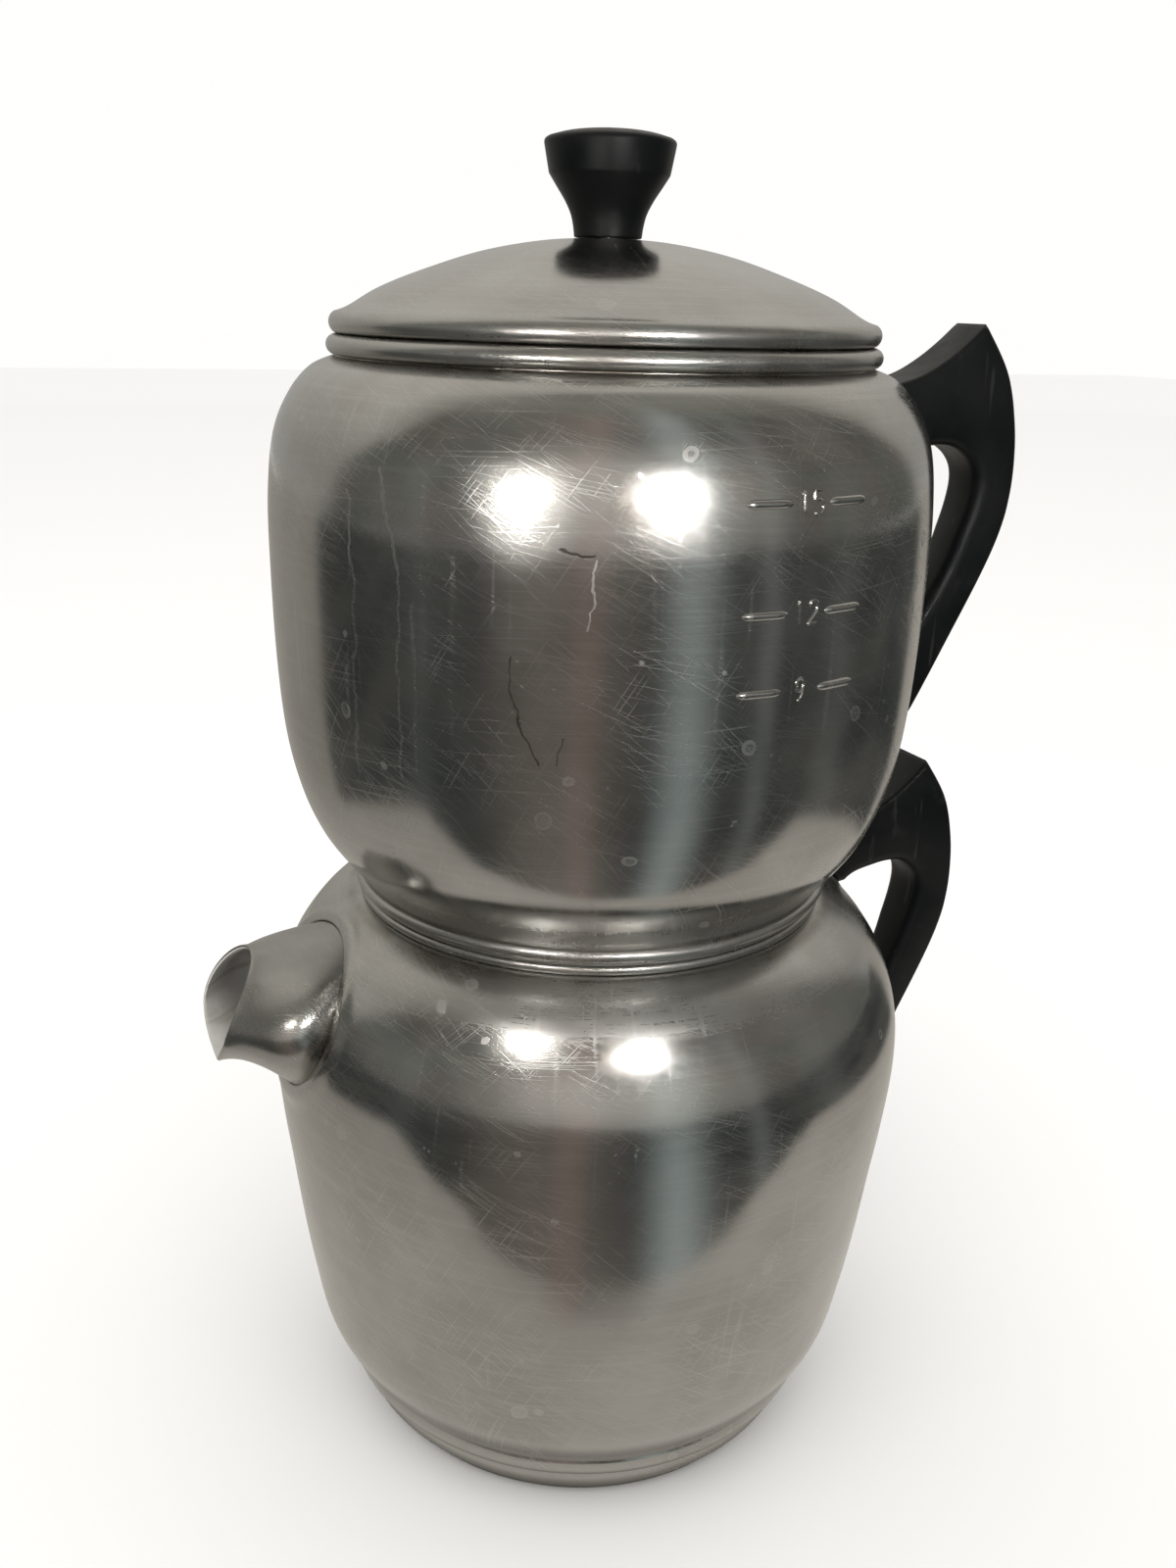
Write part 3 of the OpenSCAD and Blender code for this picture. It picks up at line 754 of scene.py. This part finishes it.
class Nodes:
    """A material's node tree with short calls to add to it."""

    def __init__(self, name):
        self.material = bpy.data.materials.new(name)
        self.material.use_nodes = True
        self.tree = self.material.node_tree
        self.shader = self.tree.nodes["Principled BSDF"]
        self.output = self.tree.nodes["Material Output"]
        self.place = self.add("TexCoord").outputs["Object"]

    def add(self, kind, values=(), **settings):
        """New shader node; values go to its inputs in order, or by name or number."""
        node = self.tree.nodes.new("ShaderNode" + kind)
        for key, value in settings.items():
            setattr(node, key, value)
        for key, value in values.items() if isinstance(values, dict) else enumerate(values):
            self.put(node.inputs[key], value)
        return node

    def put(self, socket, value):
        """Links a socket to another, or sets its value."""
        if isinstance(value, bpy.types.NodeSocket):
            self.tree.links.new(value, socket)
        else:
            socket.default_value = value

    def set(self, name, value):
        self.put(self.shader.inputs[name], value)

    def math(self, operation, *values, clamp=False):
        return self.add("Math", values, operation=operation, use_clamp=clamp).outputs[0]

    def product(self, a, b, clamp=False):
        return self.math("MULTIPLY", a, b, clamp=clamp)

    def sum(self, a, b, clamp=False):
        return self.math("ADD", a, b, clamp=clamp)

    def less(self, a, b):
        return self.math("SUBTRACT", a, b)

    def vector(self, operation, *values):
        node = self.add("VectorMath", values, operation=operation)
        return node.outputs["Value" if operation in ("DOT_PRODUCT", "LENGTH") else "Vector"]

    def scaled(self, vector, scale):
        return self.vector("MULTIPLY", vector, scale)

    def split(self, vector):
        return self.add("SeparateXYZ", [vector]).outputs

    def join(self, *parts):
        return self.add("CombineXYZ", parts).outputs[0]

    def noise(self, vector, scale, detail=3.0, rough=0.55, w=None):
        values = {"Vector": vector, "Scale": scale, "Detail": detail, "Roughness": rough}
        if w is None:
            return self.add("TexNoise", values).outputs["Fac"]
        return self.add("TexNoise", values | {"W": w}, noise_dimensions="4D").outputs["Fac"]

    def cells(self, vector, scale):
        """Distance to the nearest of a cloud of points."""
        return self.add("TexVoronoi", {"Vector": vector, "Scale": scale}).outputs["Distance"]

    def ramp(self, value, low, high, to_low=0.0, to_high=1.0, smooth=True):
        """Value between low and high, spread over to_low and to_high."""
        return self.add("MapRange", {"Value": value, "From Min": low, "From Max": high,
                                     "To Min": to_low, "To Max": to_high},
                        interpolation_type="SMOOTHSTEP" if smooth else "LINEAR").outputs["Result"]

    def near(self, value, centre, full, reach, strength=1.0):
        """Strength up to full away from the centre, down to nothing at reach."""
        away = self.math("ABSOLUTE", self.less(value, centre))
        return self.ramp(away, full, reach, strength, 0.0)

    def mix(self, fac, a, b, blend="MIX"):
        node = self.add("Mix", data_type="RGBA", blend_type=blend)
        for place, value in ((0, fac), (6, a), (7, b)):
            self.put(node.inputs[place], value)
        return node.outputs[2]

    def paint(self, mask, strength, colour):
        """Lays a colour over the base colour where the mask is."""
        self.colour = self.mix(self.product(mask, strength), self.colour, colour)

    def roughen(self, mask, strength, clamp=False):
        """Adds roughness where the mask is."""
        self.roughness = self.sum(self.roughness, self.product(mask, strength), clamp)

    def bump(self, height, distance, strength, normal=None):
        values = {"Height": height, "Distance": distance, "Strength": strength}
        if normal is not None:
            values["Normal"] = normal
        return self.add("Bump", values).outputs["Normal"]

    def round_place(self):
        """Direction round the axis (x, y), height and radius: what turned marks follow."""
        x, y, z = self.split(self.place)
        square = self.sum(self.product(x, x), self.product(y, y))
        radius = self.math("MAXIMUM", self.math("SQRT", square), 1e-4)
        return self.math("DIVIDE", x, radius), self.math("DIVIDE", y, radius), z, radius

    def wall_arc(self):
        """Arc round the axis in metres, joined at the back, then height and radius."""
        across, along, z, radius = self.round_place()
        turn = self.math("ARCTAN2", across, self.product(along, -1.0))
        return self.product(turn, WALL_ARC), z, radius

    def turned_noise(self, turns, rings, detail=2.0, seed=0.0):
        """Noise in streaks round the axis: turns across a radian, rings across a metre."""
        across, along, z, radius = self.round_place()
        place = self.join(self.product(across, turns), self.product(along, turns),
                          self.product(z, rings))
        w = self.sum(self.product(radius, rings), seed)
        return self.noise(place, 1.0, detail, 0.6, w)

    def wall_plane(self):
        """Vector (arc round the axis, height less radius, 0) in metres."""
        arc, z, radius = self.wall_arc()
        return self.join(arc, self.less(z, radius))

    def crease_grime(self):
        """Mask of the soil that gathers below the rim, at the neck and in the foot's grooves."""
        soil = 0.0
        patchy = self.noise(self.place, 60, 3.0, 0.6)
        height = self.split(self.place)[2]
        for at, reach, strength in GRIME:
            soil = self.sum(self.near(height, at * MM, 0.0, reach * MM, strength), soil)
        return self.product(soil, self.ramp(patchy, 0.34, 0.6, 0.35, 1.0), clamp=True)

    def turned_edges(self):
        """Mask of the beads and turned edges, which were never polished as finely."""
        dull = 0.0
        height = self.split(self.place)[2]
        for at, reach in DULL:
            near = self.near(height, at * MM, 0.75 * reach * MM, reach * MM)
            dull = self.sum(near, dull)
        return dull

    def strokes(self, marks):
        """Mask of long uneven marks on the container's wall."""
        arc, z, _ = self.wall_arc()
        shake, sway = (self.product(self.less(self.noise(self.place, scale), 0.5), STROKE_SHAKE)
                       for scale in (160, 190))
        place = self.join(self.sum(arc, shake), self.sum(z, sway))
        found = 0.0
        for start, end, width, strength in marks:
            a, b = (Vector((math.radians(t) * WALL_ARC, h * MM, 0)) for t, h in (start, end))
            rel = self.vector("SUBTRACT", place, a)
            part = self.vector("DOT_PRODUCT", rel, (b - a) / (b - a).length_squared)
            part = self.product(part, 1.0, clamp=True)
            along = self.join(*(self.product(part, (b - a)[i]) for i in range(2)))
            gap = self.vector("LENGTH", self.vector("SUBTRACT", rel, along))
            line = self.ramp(gap, 0.4 * width * MM, 1.4 * width * MM, strength, 0.0)
            found = self.math("MAXIMUM", line, found)
        return found

    def seam_line(self):
        """Mask of the dark line where the spout's seam meets the server's wall."""
        x, y, z = self.split(self.place)
        out = self.less(x, SEAM_CENTRE.x * MM)
        rise = self.less(z, SEAM_CENTRE.z * MM)
        up = self.sum(self.product(out, SEAM_UP.x / (SEAM_HIGH * MM)),
                      self.product(rise, SEAM_UP.z / (SEAM_HIGH * MM)))
        across = self.math("DIVIDE", y, SEAM_WIDE * MM)
        square = self.sum(self.product(up, up), self.product(across, across))
        line = self.near(self.math("SQRT", square), 1.0, 0.008, 0.026, 0.8)
        return self.product(line, self.ramp(x, -0.052, -0.05, 1.0, 0.0))

    def hairlines(self, plane, angle, length, width, seed):
        """Mask of long thin scratches at an angle: length and width in millimetres."""
        turned = self.add("Mapping", {"Vector": plane,
                                      "Location": (seed * 0.01, seed * 0.017, 0),
                                      "Rotation": (0, 0, math.radians(angle)),
                                      "Scale": (length * MM, width * MM, 1)},
                          vector_type="TEXTURE").outputs[0]
        return self.ramp(self.noise(turned, 1.0, 0.0), 0.70, 0.78)


def tinted(colour, tone):
    """A colour made lighter or darker."""
    return tuple(c * tone for c in colour) + (1,)


def aluminium(name, tone=0.46, gloss=0.155, spots=1.0, marks=1.0, seam=False, strokes=False):
    """Polished sheet, finely ringed from spinning, scuffed, water-marked and a little tarnished."""
    m = Nodes(name)
    rings = m.turned_noise(2.2, 900, 3.0)
    ring_scuffs = m.turned_noise(3.0, 3000, 2.0, 9.0)
    cloud = m.noise(m.place, 24, 4.0, 0.6)
    haze = m.noise(m.place, 70, 5.0, 0.62)
    plane = m.wall_plane()
    patch = m.ramp(m.noise(m.place, 26, 2.0), 0.42, 0.64)
    lines = m.hairlines(plane, *HAIRLINES[0])
    for hairline in HAIRLINES[1:]:
        lines = m.math("MAXIMUM", lines, m.hairlines(plane, *hairline))
    lines = m.product(lines, m.ramp(patch, 0, 1, 0.4, 1.0))
    drips = m.ramp(m.noise(m.scaled(plane, (430, 22, 1)), 1.0, 2.0), 0.60, 0.72)
    drips = m.product(drips, m.ramp(m.noise(m.place, 14, 1.0), 0.46, 0.62))
    drops = m.cells(m.place, 105)
    spot_noise = m.noise(m.place, 52, 2.0)
    spot_size = m.product(m.ramp(spot_noise, 0.50, 0.74), 0.36)
    inside = m.less(spot_size, drops)
    spot = m.ramp(inside, -0.01, 0.03)
    spot_rim = m.less(spot, m.ramp(inside, 0.03, 0.1, 0, 0.5))
    fleck = m.ramp(m.cells(m.place, 330), 0.10, 0.17, 1.0, 0.0)
    fleck = m.product(fleck, m.ramp(m.noise(m.place, 41, 2.0), 0.54, 0.68, 0, 0.8))
    spot_rim = m.product(m.math("MAXIMUM", spot_rim, fleck), spots)
    light = tinted((1.0, 0.99, 0.955), tone)
    dull = tinted((1.0, 0.975, 0.92), tone * 0.84)
    bright = tinted((1.0, 0.99, 0.96), tone * 1.30)
    soiled = tinted((1.0, 0.90, 0.74), tone * 0.42)
    m.colour = m.mix(m.ramp(cloud, 0.35, 0.68), light, dull)
    m.paint(m.ramp(rings, 0.45, 0.7), 0.16, bright)
    m.paint(drips, 0.35 * marks, bright)
    m.paint(spot_rim, 0.55, bright)
    m.paint(lines, 0.6 * marks, bright)
    m.colour = m.mix(m.crease_grime(), m.colour, soiled)
    if seam:
        m.colour = m.mix(m.seam_line(), m.colour, soiled)
    if strokes:
        pale_strokes = m.strokes(PALE_MARKS)
        m.paint(pale_strokes, 0.7, bright)
        m.colour = m.mix(m.strokes(DARK_MARKS), m.colour, tinted(soiled[:3], 0.3))
    m.set("Base Color", m.colour)
    m.set("Metallic", 1.0)
    m.roughness = m.ramp(haze, 0.3, 0.75, gloss * 0.88, gloss * 1.16)
    m.roughen(m.turned_edges(), 0.13)
    m.roughness = m.product(m.roughness, m.ramp(ring_scuffs, 0.3, 0.7, 0.95, 1.07))
    m.roughen(spot_rim, 0.20)
    m.roughen(drips, 0.08 * marks)
    m.roughen(lines, 0.16 * marks, clamp=True)
    if strokes:
        m.roughen(pale_strokes, 0.22, clamp=True)
    m.set("Roughness", m.roughness)
    normal = m.bump(haze, 0.00006, 0.12)
    normal = m.bump(lines, 0.00002, 0.2 * marks, normal)
    normal = m.bump(spot_rim, 0.00002, 0.5, normal)
    m.set("Normal", normal)
    return m.material


def stained_lining(name):
    """The vessels' inner side: dull and mottled grey, with brown tide marks."""
    m = Nodes(name)
    cloud = m.noise(m.place, 38, 4.0, 0.6)
    mottle = m.noise(m.place, 150, 4.0, 0.65)
    tide = m.noise(m.scaled(m.place, (16, 16, 260)), 1.0, 3.0, 0.6)
    colour = m.mix(m.ramp(cloud, 0.35, 0.66), (0.66, 0.645, 0.61, 1), (0.48, 0.46, 0.43, 1))
    colour = m.mix(m.ramp(tide, 0.56, 0.74, 0.0, 0.5), colour, (0.26, 0.215, 0.16, 1))
    colour = m.mix(m.ramp(mottle, 0.58, 0.72, 0.0, 0.4), colour, (0.68, 0.66, 0.62, 1))
    m.set("Base Color", colour)
    m.set("Metallic", 0.2)
    m.set("Roughness", m.ramp(mottle, 0.3, 0.7, 0.46, 0.62))
    m.set("Normal", m.bump(mottle, 0.00005, 0.3))
    return m.material


def moulded_black(name):
    """Old phenolic: near black, satin, with rubbed and dusty places."""
    m = Nodes(name)
    cloud = m.noise(m.place, 55, 4.0, 0.6)
    fine = m.noise(m.place, 900, 3.0, 0.6)
    worn = m.ramp(m.noise(m.place, 120, 5.0, 0.7), 0.56, 0.74)
    scrape = m.noise(m.scaled(m.place, (240, 240, 26)), 1.0, 2.0)
    scrape = m.ramp(scrape, 0.66, 0.72)
    m.colour = m.mix(m.ramp(cloud, 0.35, 0.7), (0.0026, 0.0040, 0.0044, 1),
                     (0.0055, 0.0064, 0.0066, 1))
    m.paint(worn, 0.5, (0.022, 0.021, 0.018, 1))
    m.paint(scrape, 0.4, (0.040, 0.038, 0.034, 1))
    m.set("Base Color", m.colour)
    m.roughness = m.ramp(cloud, 0.3, 0.75, 0.34, 0.5)
    m.roughen(worn, 0.12)
    m.set("Roughness", m.roughness)
    m.set("Specular IOR Level", 0.22)
    normal = m.bump(fine, 0.00003, 0.35)
    normal = m.bump(scrape, 0.00004, 0.4, normal)
    m.set("Normal", normal)
    return m.material


def turned_metal(name, colour, dull, rough):
    """Small turned parts: fine rings, tarnish in blotches."""
    m = Nodes(name)
    grain = m.noise(m.scaled(m.place, (2200, 2200, 700)), 1.0, 2.0)
    blot = m.ramp(m.noise(m.place, 300, 4.0), 0.42, 0.66)
    m.set("Base Color", m.mix(blot, colour + (1,), dull + (1,)))
    m.set("Metallic", 1.0)
    m.set("Roughness", m.ramp(grain, 0.3, 0.7, rough, rough + 0.16))
    m.set("Normal", m.bump(grain, 0.00003, 0.4))
    return m.material


# ---------------------------------------------------------------- stage

CAMERA_AZIMUTH = math.radians(-25)
CAMERA_DISTANCE = 372.17
CAMERA_HEIGHT = 311.83
CAMERA_PITCH = math.radians(18.741)
CAMERA_HEADING = math.radians(-24.834)
CAMERA_ROLL = math.radians(1.619)
FOCAL_LENGTH = 32.625


def build_camera():
    data = bpy.data.cameras.new("camera")
    data.lens = FOCAL_LENGTH
    data.sensor_width = 36
    data.clip_end = 50
    camera = bpy.data.objects.new("camera", data)
    bpy.context.scene.collection.objects.link(camera)
    turn = (Matrix.Rotation(CAMERA_HEADING, 4, "Z")
            @ Matrix.Rotation(math.pi / 2 - CAMERA_PITCH, 4, "X")
            @ Matrix.Rotation(CAMERA_ROLL, 4, "Z"))
    place = Vector((CAMERA_DISTANCE * math.sin(CAMERA_AZIMUTH),
                    -CAMERA_DISTANCE * math.cos(CAMERA_AZIMUTH), CAMERA_HEIGHT)) * MM
    camera.matrix_world = Matrix.Translation(place) @ turn
    bpy.context.scene.camera = camera


def emitter(name):
    """Material tree that only gives light; returns its Nodes and the emission shader."""
    m = Nodes(name)
    m.tree.nodes.remove(m.shader)
    shine = m.add("Emission")
    m.put(m.output.inputs["Surface"], shine.outputs[0])
    return m, shine


def only_reflected(piece):
    """The piece shows in reflections and nowhere else, like a card held out of the picture."""
    for ray in ("camera", "diffuse", "transmission", "volume_scatter", "shadow"):
        setattr(piece, "visible_" + ray, False)


FLOOR_HALF, CARD_HALF, CARD_LIFT = 6000, 3600, 0.3


def flat_square(name, half, height):
    corners = [(-half, -half), (half, -half), (half, half), (-half, half)]
    return new_piece(name, [(x, y, height) for x, y in corners], [(0, 1, 2, 3)])


def build_floor():
    floor = flat_square("floor", FLOOR_HALF, 0)
    m = Nodes("pale_floor")
    m.set("Base Color", (0.93, 0.925, 0.915, 1))
    m.set("Roughness", 0.85)
    m.set("Specular IOR Level", 0.1)
    floor.data.materials.append(m.material)


ROOM_RINGS = 24
ROOM_SIZE = 4000
ROOM_AZIMUTH = math.radians(-10)
ROOM_SIDE = math.cos(math.radians(119))

# Paler upright stretches in the dim front of the room: azimuth, spread either way, added light
STRETCHES = [(-36, 26, (0.130, 0.105, 0.088, 1)), (-27, 5, (0.085, 0.045, 0.040, 1)),
             (5, 10, (0.300, 0.350, 0.350, 1)), (32, 4, (0.120, 0.130, 0.130, 1)),
             (-84, 5, (0.040, 0.043, 0.040, 1)), (62, 9, (0.050, 0.052, 0.050, 1))]
GLOW_AZIMUTH = math.radians(-15)
GLOW_HEIGHT = 0.28


def towards(m, x, y, azimuth):
    """How far a place lies in the direction of an azimuth."""
    return m.sum(m.product(x, math.sin(azimuth)), m.product(y, -math.cos(azimuth)))


def with_stretches(m, x, y, dim):
    """The dim colour with the paler upright stretches added, by azimuth round the object."""
    turn = m.math("ARCTAN2", x, m.product(y, -1.0))
    waver = m.less(m.noise(m.place, 1.3, 2.0), 0.5)
    turn = m.sum(turn, m.product(waver, 0.2))
    for azimuth, spread, light in STRETCHES:
        there = m.near(turn, math.radians(azimuth), 0.0, math.radians(spread) * 1.5)
        dim = m.mix(there, dim, light, blend="ADD")
    return dim, turn


def build_room():
    """A studio dome that only the gloss sees: pale behind and above, dim in front."""
    tilts = [math.pi * i / ROOM_RINGS for i in range(ROOM_RINGS + 1)]
    arc = [(ROOM_SIZE * math.sin(w), ROOM_SIZE * math.cos(w)) for w in tilts]
    arc[-1] = (0, -ROOM_SIZE)
    room = new_piece("room", *lathed(arc, around=2 * ROOM_RINGS))
    m, shine = emitter("room_light")
    unit = m.vector("NORMALIZE", m.place)
    x, y, z = m.split(unit)
    ahead = towards(m, x, y, ROOM_AZIMUTH)
    level = m.math("SQRT", m.less(1.0, m.product(z, z)))
    ahead = m.math("DIVIDE", ahead, m.math("MAXIMUM", level, 0.01))
    top = m.ramp(ahead, -0.5, 0.1, -0.12, 0.78, smooth=False)
    top = m.sum(top, m.ramp(ahead, 0.1, 1.0, 0.0, 0.14))
    above = m.ramp(m.less(z, top), -0.10, 0.10)
    beside = m.ramp(ahead, ROOM_SIDE - 0.06, ROOM_SIDE + 0.06, 1.0, 0.0)
    pale = m.math("MAXIMUM", above, beside)
    blotch = m.noise(unit, 2.6, 3.0, 0.6)
    streak = m.noise(m.scaled(unit, (7, 7, 1.4)), 1.0, 2.0)
    dim = m.mix(m.ramp(blotch, 0.42, 0.66), (0.042, 0.048, 0.047, 1), (0.080, 0.084, 0.080, 1))
    dim = m.mix(m.product(m.ramp(streak, 0.52, 0.68), 0.4), dim, (0.13, 0.13, 0.12, 1))
    hue = m.ramp(m.noise(unit, 4.5, 2.0), 0.38, 0.62)
    tint = m.mix(hue, (0.86, 1.04, 0.96, 1), (1.22, 0.93, 0.90, 1))
    dim = m.mix(1.0, dim, tint, blend="MULTIPLY")
    dim, turn = with_stretches(m, x, y, dim)
    dim = m.mix(m.ramp(z, -0.22, 0.10), dim, (0.13, 0.125, 0.115, 1), blend="ADD")
    glow = m.product(m.near(turn, GLOW_AZIMUTH, 0.1, 1.15), m.near(z, GLOW_HEIGHT, 0.05, 0.52))
    dim = m.mix(glow, dim, (0.42, 0.41, 0.39, 1), blend="ADD")
    wall = m.mix(m.ramp(z, 0.1, 0.75), (0.46, 0.45, 0.42, 1), (0.74, 0.71, 0.65, 1))
    wall = m.mix(m.ramp(ahead, -0.45, 0.25), wall, (0.34, 0.335, 0.295, 1))
    m.put(shine.inputs["Color"], m.mix(pale, dim, wall))
    m.put(shine.inputs["Strength"], 1.0)
    room.data.materials.append(m.material)
    only_reflected(room)


TABLE_EDGE = 141
TABLE_TURN = math.radians(-16.5)
TABLE_REACH = 340


def build_table_card():
    """What the gloss sees of the table: a painted shadow under and round the foot, pale beyond it,
    duller far off, dim past its edge.
    """
    card = flat_square("table_card", CARD_HALF, CARD_LIFT)
    m, shine = emitter("table_card_light")
    x, y, _ = m.split(m.place)
    out = towards(m, x, y, TABLE_TURN)
    wander = m.noise(m.place, 9.0, 2.0, 0.5)
    out = m.sum(out, m.product(m.less(wander, 0.5), 0.025))
    past = m.ramp(out, (TABLE_EDGE - 5) * MM, (TABLE_EDGE + 5) * MM)
    far = m.vector("LENGTH", m.place)
    ahead = m.math("DIVIDE", towards(m, x, y, ROOM_AZIMUTH), far)
    beside = m.product(m.ramp(ahead, ROOM_SIDE - 0.04, ROOM_SIDE + 0.04),
                    m.ramp(far, TABLE_REACH * MM, (TABLE_REACH + 60) * MM))
    past = m.math("MAXIMUM", past, beside)
    blotch = m.noise(m.place, 3.0, 3.0, 0.6)
    dim = m.mix(m.ramp(blotch, 0.4, 0.66), (0.052, 0.058, 0.056, 1), (0.12, 0.118, 0.110, 1))
    dim, _ = with_stretches(m, x, y, dim)
    pale = m.mix(m.ramp(far, 0.07, 0.5, smooth=False), (0.66, 0.62, 0.56, 1),
                 (0.44, 0.415, 0.37, 1))
    pale = m.mix(m.ramp(x, -0.3, 0.3, 0.22, 0.0), pale, (0.14, 0.14, 0.13, 1))
    # Painted shadow: the card is dark under the foot and out to about 78 mm from the axis, standing
    # in for the contact shadow that the gloss would see on the table.
    pale = m.mix(m.ramp(far, 0.060, 0.078, 0.85, 0.0), pale, (0.05, 0.047, 0.04, 1))
    m.put(shine.inputs["Color"], m.mix(past, pale, dim))
    card.data.materials.append(m.material)
    only_reflected(card)


# Name, place, radius, strength, colour and the halo's strength of each lamp
LAMPS = [("left_lamp", (-166, -166, 297), 11, 90, (1.0, 0.98, 0.94, 1), 1.5),
         ("small_lamp", (-62, -262, 304), 4, 30, (1.0, 0.74, 0.52, 1), 0.1),
         ("right_lamp", (-28, -288, 311), 16, 120, (1.0, 0.97, 0.95, 1), 1.9)]
LAMP_HALO = 75
LAMP_SIDES = 48
LAMP_AIM = 60


def build_lamp(name, place, radius, strength, colour, halo):
    """Round lamp with a soft halo that faces the object, in reflections only."""
    centre = Vector(place)
    facing = (Vector((0, 0, centre.z - LAMP_AIM)) - centre).normalized()
    side = facing.orthogonal().normalized()
    over = facing.cross(side)
    turns = [2 * math.pi * k / LAMP_SIDES for k in range(LAMP_SIDES)]
    points = [centre] + [centre + LAMP_HALO * (math.cos(w) * side + math.sin(w) * over)
                         for w in turns]
    lamp = new_piece(name, points, [(0, 1 + k, 1 + (k + 1) % LAMP_SIDES)
                                    for k in range(LAMP_SIDES)])
    m, shine = emitter(name + "_light")
    away = m.vector("LENGTH", m.vector("SUBTRACT", m.place, centre * MM))
    core = m.ramp(away, 0.85 * radius * MM, radius * MM, strength, 0.0)
    around = m.ramp(away, radius * MM, LAMP_HALO * MM, halo, 0.0)
    m.put(shine.inputs["Color"], colour)
    m.put(shine.inputs["Strength"], m.sum(core, around))
    both = m.add("AddShader", [shine.outputs[0], m.add("BsdfTransparent").outputs[0]])
    m.put(m.output.inputs["Surface"], both.outputs[0])
    lamp.data.materials.append(m.material)
    only_reflected(lamp)


def build_softbox():
    """Large light overhead, for the soft shadow on the floor."""
    data = bpy.data.lights.new("softbox", "AREA")
    data.shape = "DISK"
    data.size = 1.4
    data.energy = 9
    data.color = (1.0, 0.985, 0.96)
    light = bpy.data.objects.new("softbox", data)
    light.location = (-0.5, -0.7, 1.7)
    way = Vector((0, 0, 0.15)) - light.location
    light.rotation_euler = way.to_track_quat("-Z", "Y").to_euler()
    light.visible_glossy = False
    bpy.context.scene.collection.objects.link(light)


def build_world():
    world = bpy.data.worlds.new("studio")
    world.use_nodes = True
    background = world.node_tree.nodes["Background"]
    background.inputs["Color"].default_value = (1.0, 0.995, 0.985, 1)
    background.inputs["Strength"].default_value = 1.0
    bpy.context.scene.world = world


# ---------------------------------------------------------------- scene

build_camera()
bpy.context.scene.view_settings.view_transform = "Standard"
build_world()
build_softbox()
build_floor()
build_room()
build_table_card()
for lamp in LAMPS:
    build_lamp(*lamp)

polished = aluminium("polished_aluminium")
server_metal = aluminium("server_aluminium", seam=True)
container_metal = aluminium("container_aluminium", strokes=True)
# The spout takes a darker copy of the aluminium, painted shade for the dim room it reflects; it
# also has fewer spots and marks and a rougher gloss.
spout_metal = aluminium("spout_aluminium", tone=0.42, gloss=0.27, spots=0.4, marks=0.5)
lining_metal = stained_lining("stained_lining")
strap_metal = aluminium("strap_aluminium", tone=0.30, gloss=0.30)
basket_metal = aluminium("basket_aluminium", tone=0.52, gloss=0.32, spots=0.6)
phenolic = moulded_black("black_phenolic")
steel = turned_metal("screw_steel", (0.52, 0.52, 0.51), (0.34, 0.32, 0.29), 0.24)
brass = turned_metal("insert_brass", (0.62, 0.46, 0.20), (0.40, 0.28, 0.13), 0.28)


def dress(piece, body, nodes, slot, *materials):
    """Gives a piece its materials and its body, and hides the CAD nodes that it stands in for; slot
    is not used.
    """
    for material in materials:
        piece.data.materials.append(material)
    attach(piece, body)
    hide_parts(*nodes)


dress(build_server(), "server", ["server_body"], "pot_aluminium", server_metal, lining_metal)
dress(build_spout(), "server", ["spout"], "pot_aluminium", spout_metal, lining_metal)
dress(build_container(), "container", ["water_container"], "pot_aluminium", container_metal,
      lining_metal)
dress(build_lid(), "lid", ["lid", "lid_collar"], "pot_aluminium", polished)
dress(build_knob(), "lid", ["lid_knob"], "moulded_black", phenolic)
dress(build_handle("pot_handle", SERVER_WALL, SERVER_TIP, 0.0),
      "server", ["server_handle"], "moulded_black", phenolic)
dress(build_handle("upper_handle", CONTAINER_WALL, CONTAINER_TIP, CONTAINER_TURN),
      "container", ["container_handle"], "moulded_black", phenolic)
dress(build_strap("pot_strap", SERVER_WALL, SERVER_TIP - 109, SERVER_TIP - 28, 0.0),
      "server", ["server_strap"], "strap_aluminium", strap_metal)
dress(build_strap("upper_strap", CONTAINER_WALL, CONTAINER_TIP - 108, CONTAINER_TIP - 18,
                  CONTAINER_TURN),
      "container", ["container_strap"], "strap_aluminium", strap_metal)

CARRIED_OVER = {
    "coffee_basket": basket_metal, "water_spreader": basket_metal,
    "server_handle_screws": steel, "server_handle_washers": steel,
    "container_handle_screws": steel, "container_handle_washers": steel,
    "knob_screw": steel, "knob_washer": steel, "server_handle_inserts": brass,
    "container_handle_inserts": brass, "knob_insert": brass,
}
for node, material in CARRIED_OVER.items():
    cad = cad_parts[node]
    cad.data.materials.clear()
    cad.data.materials.append(material)
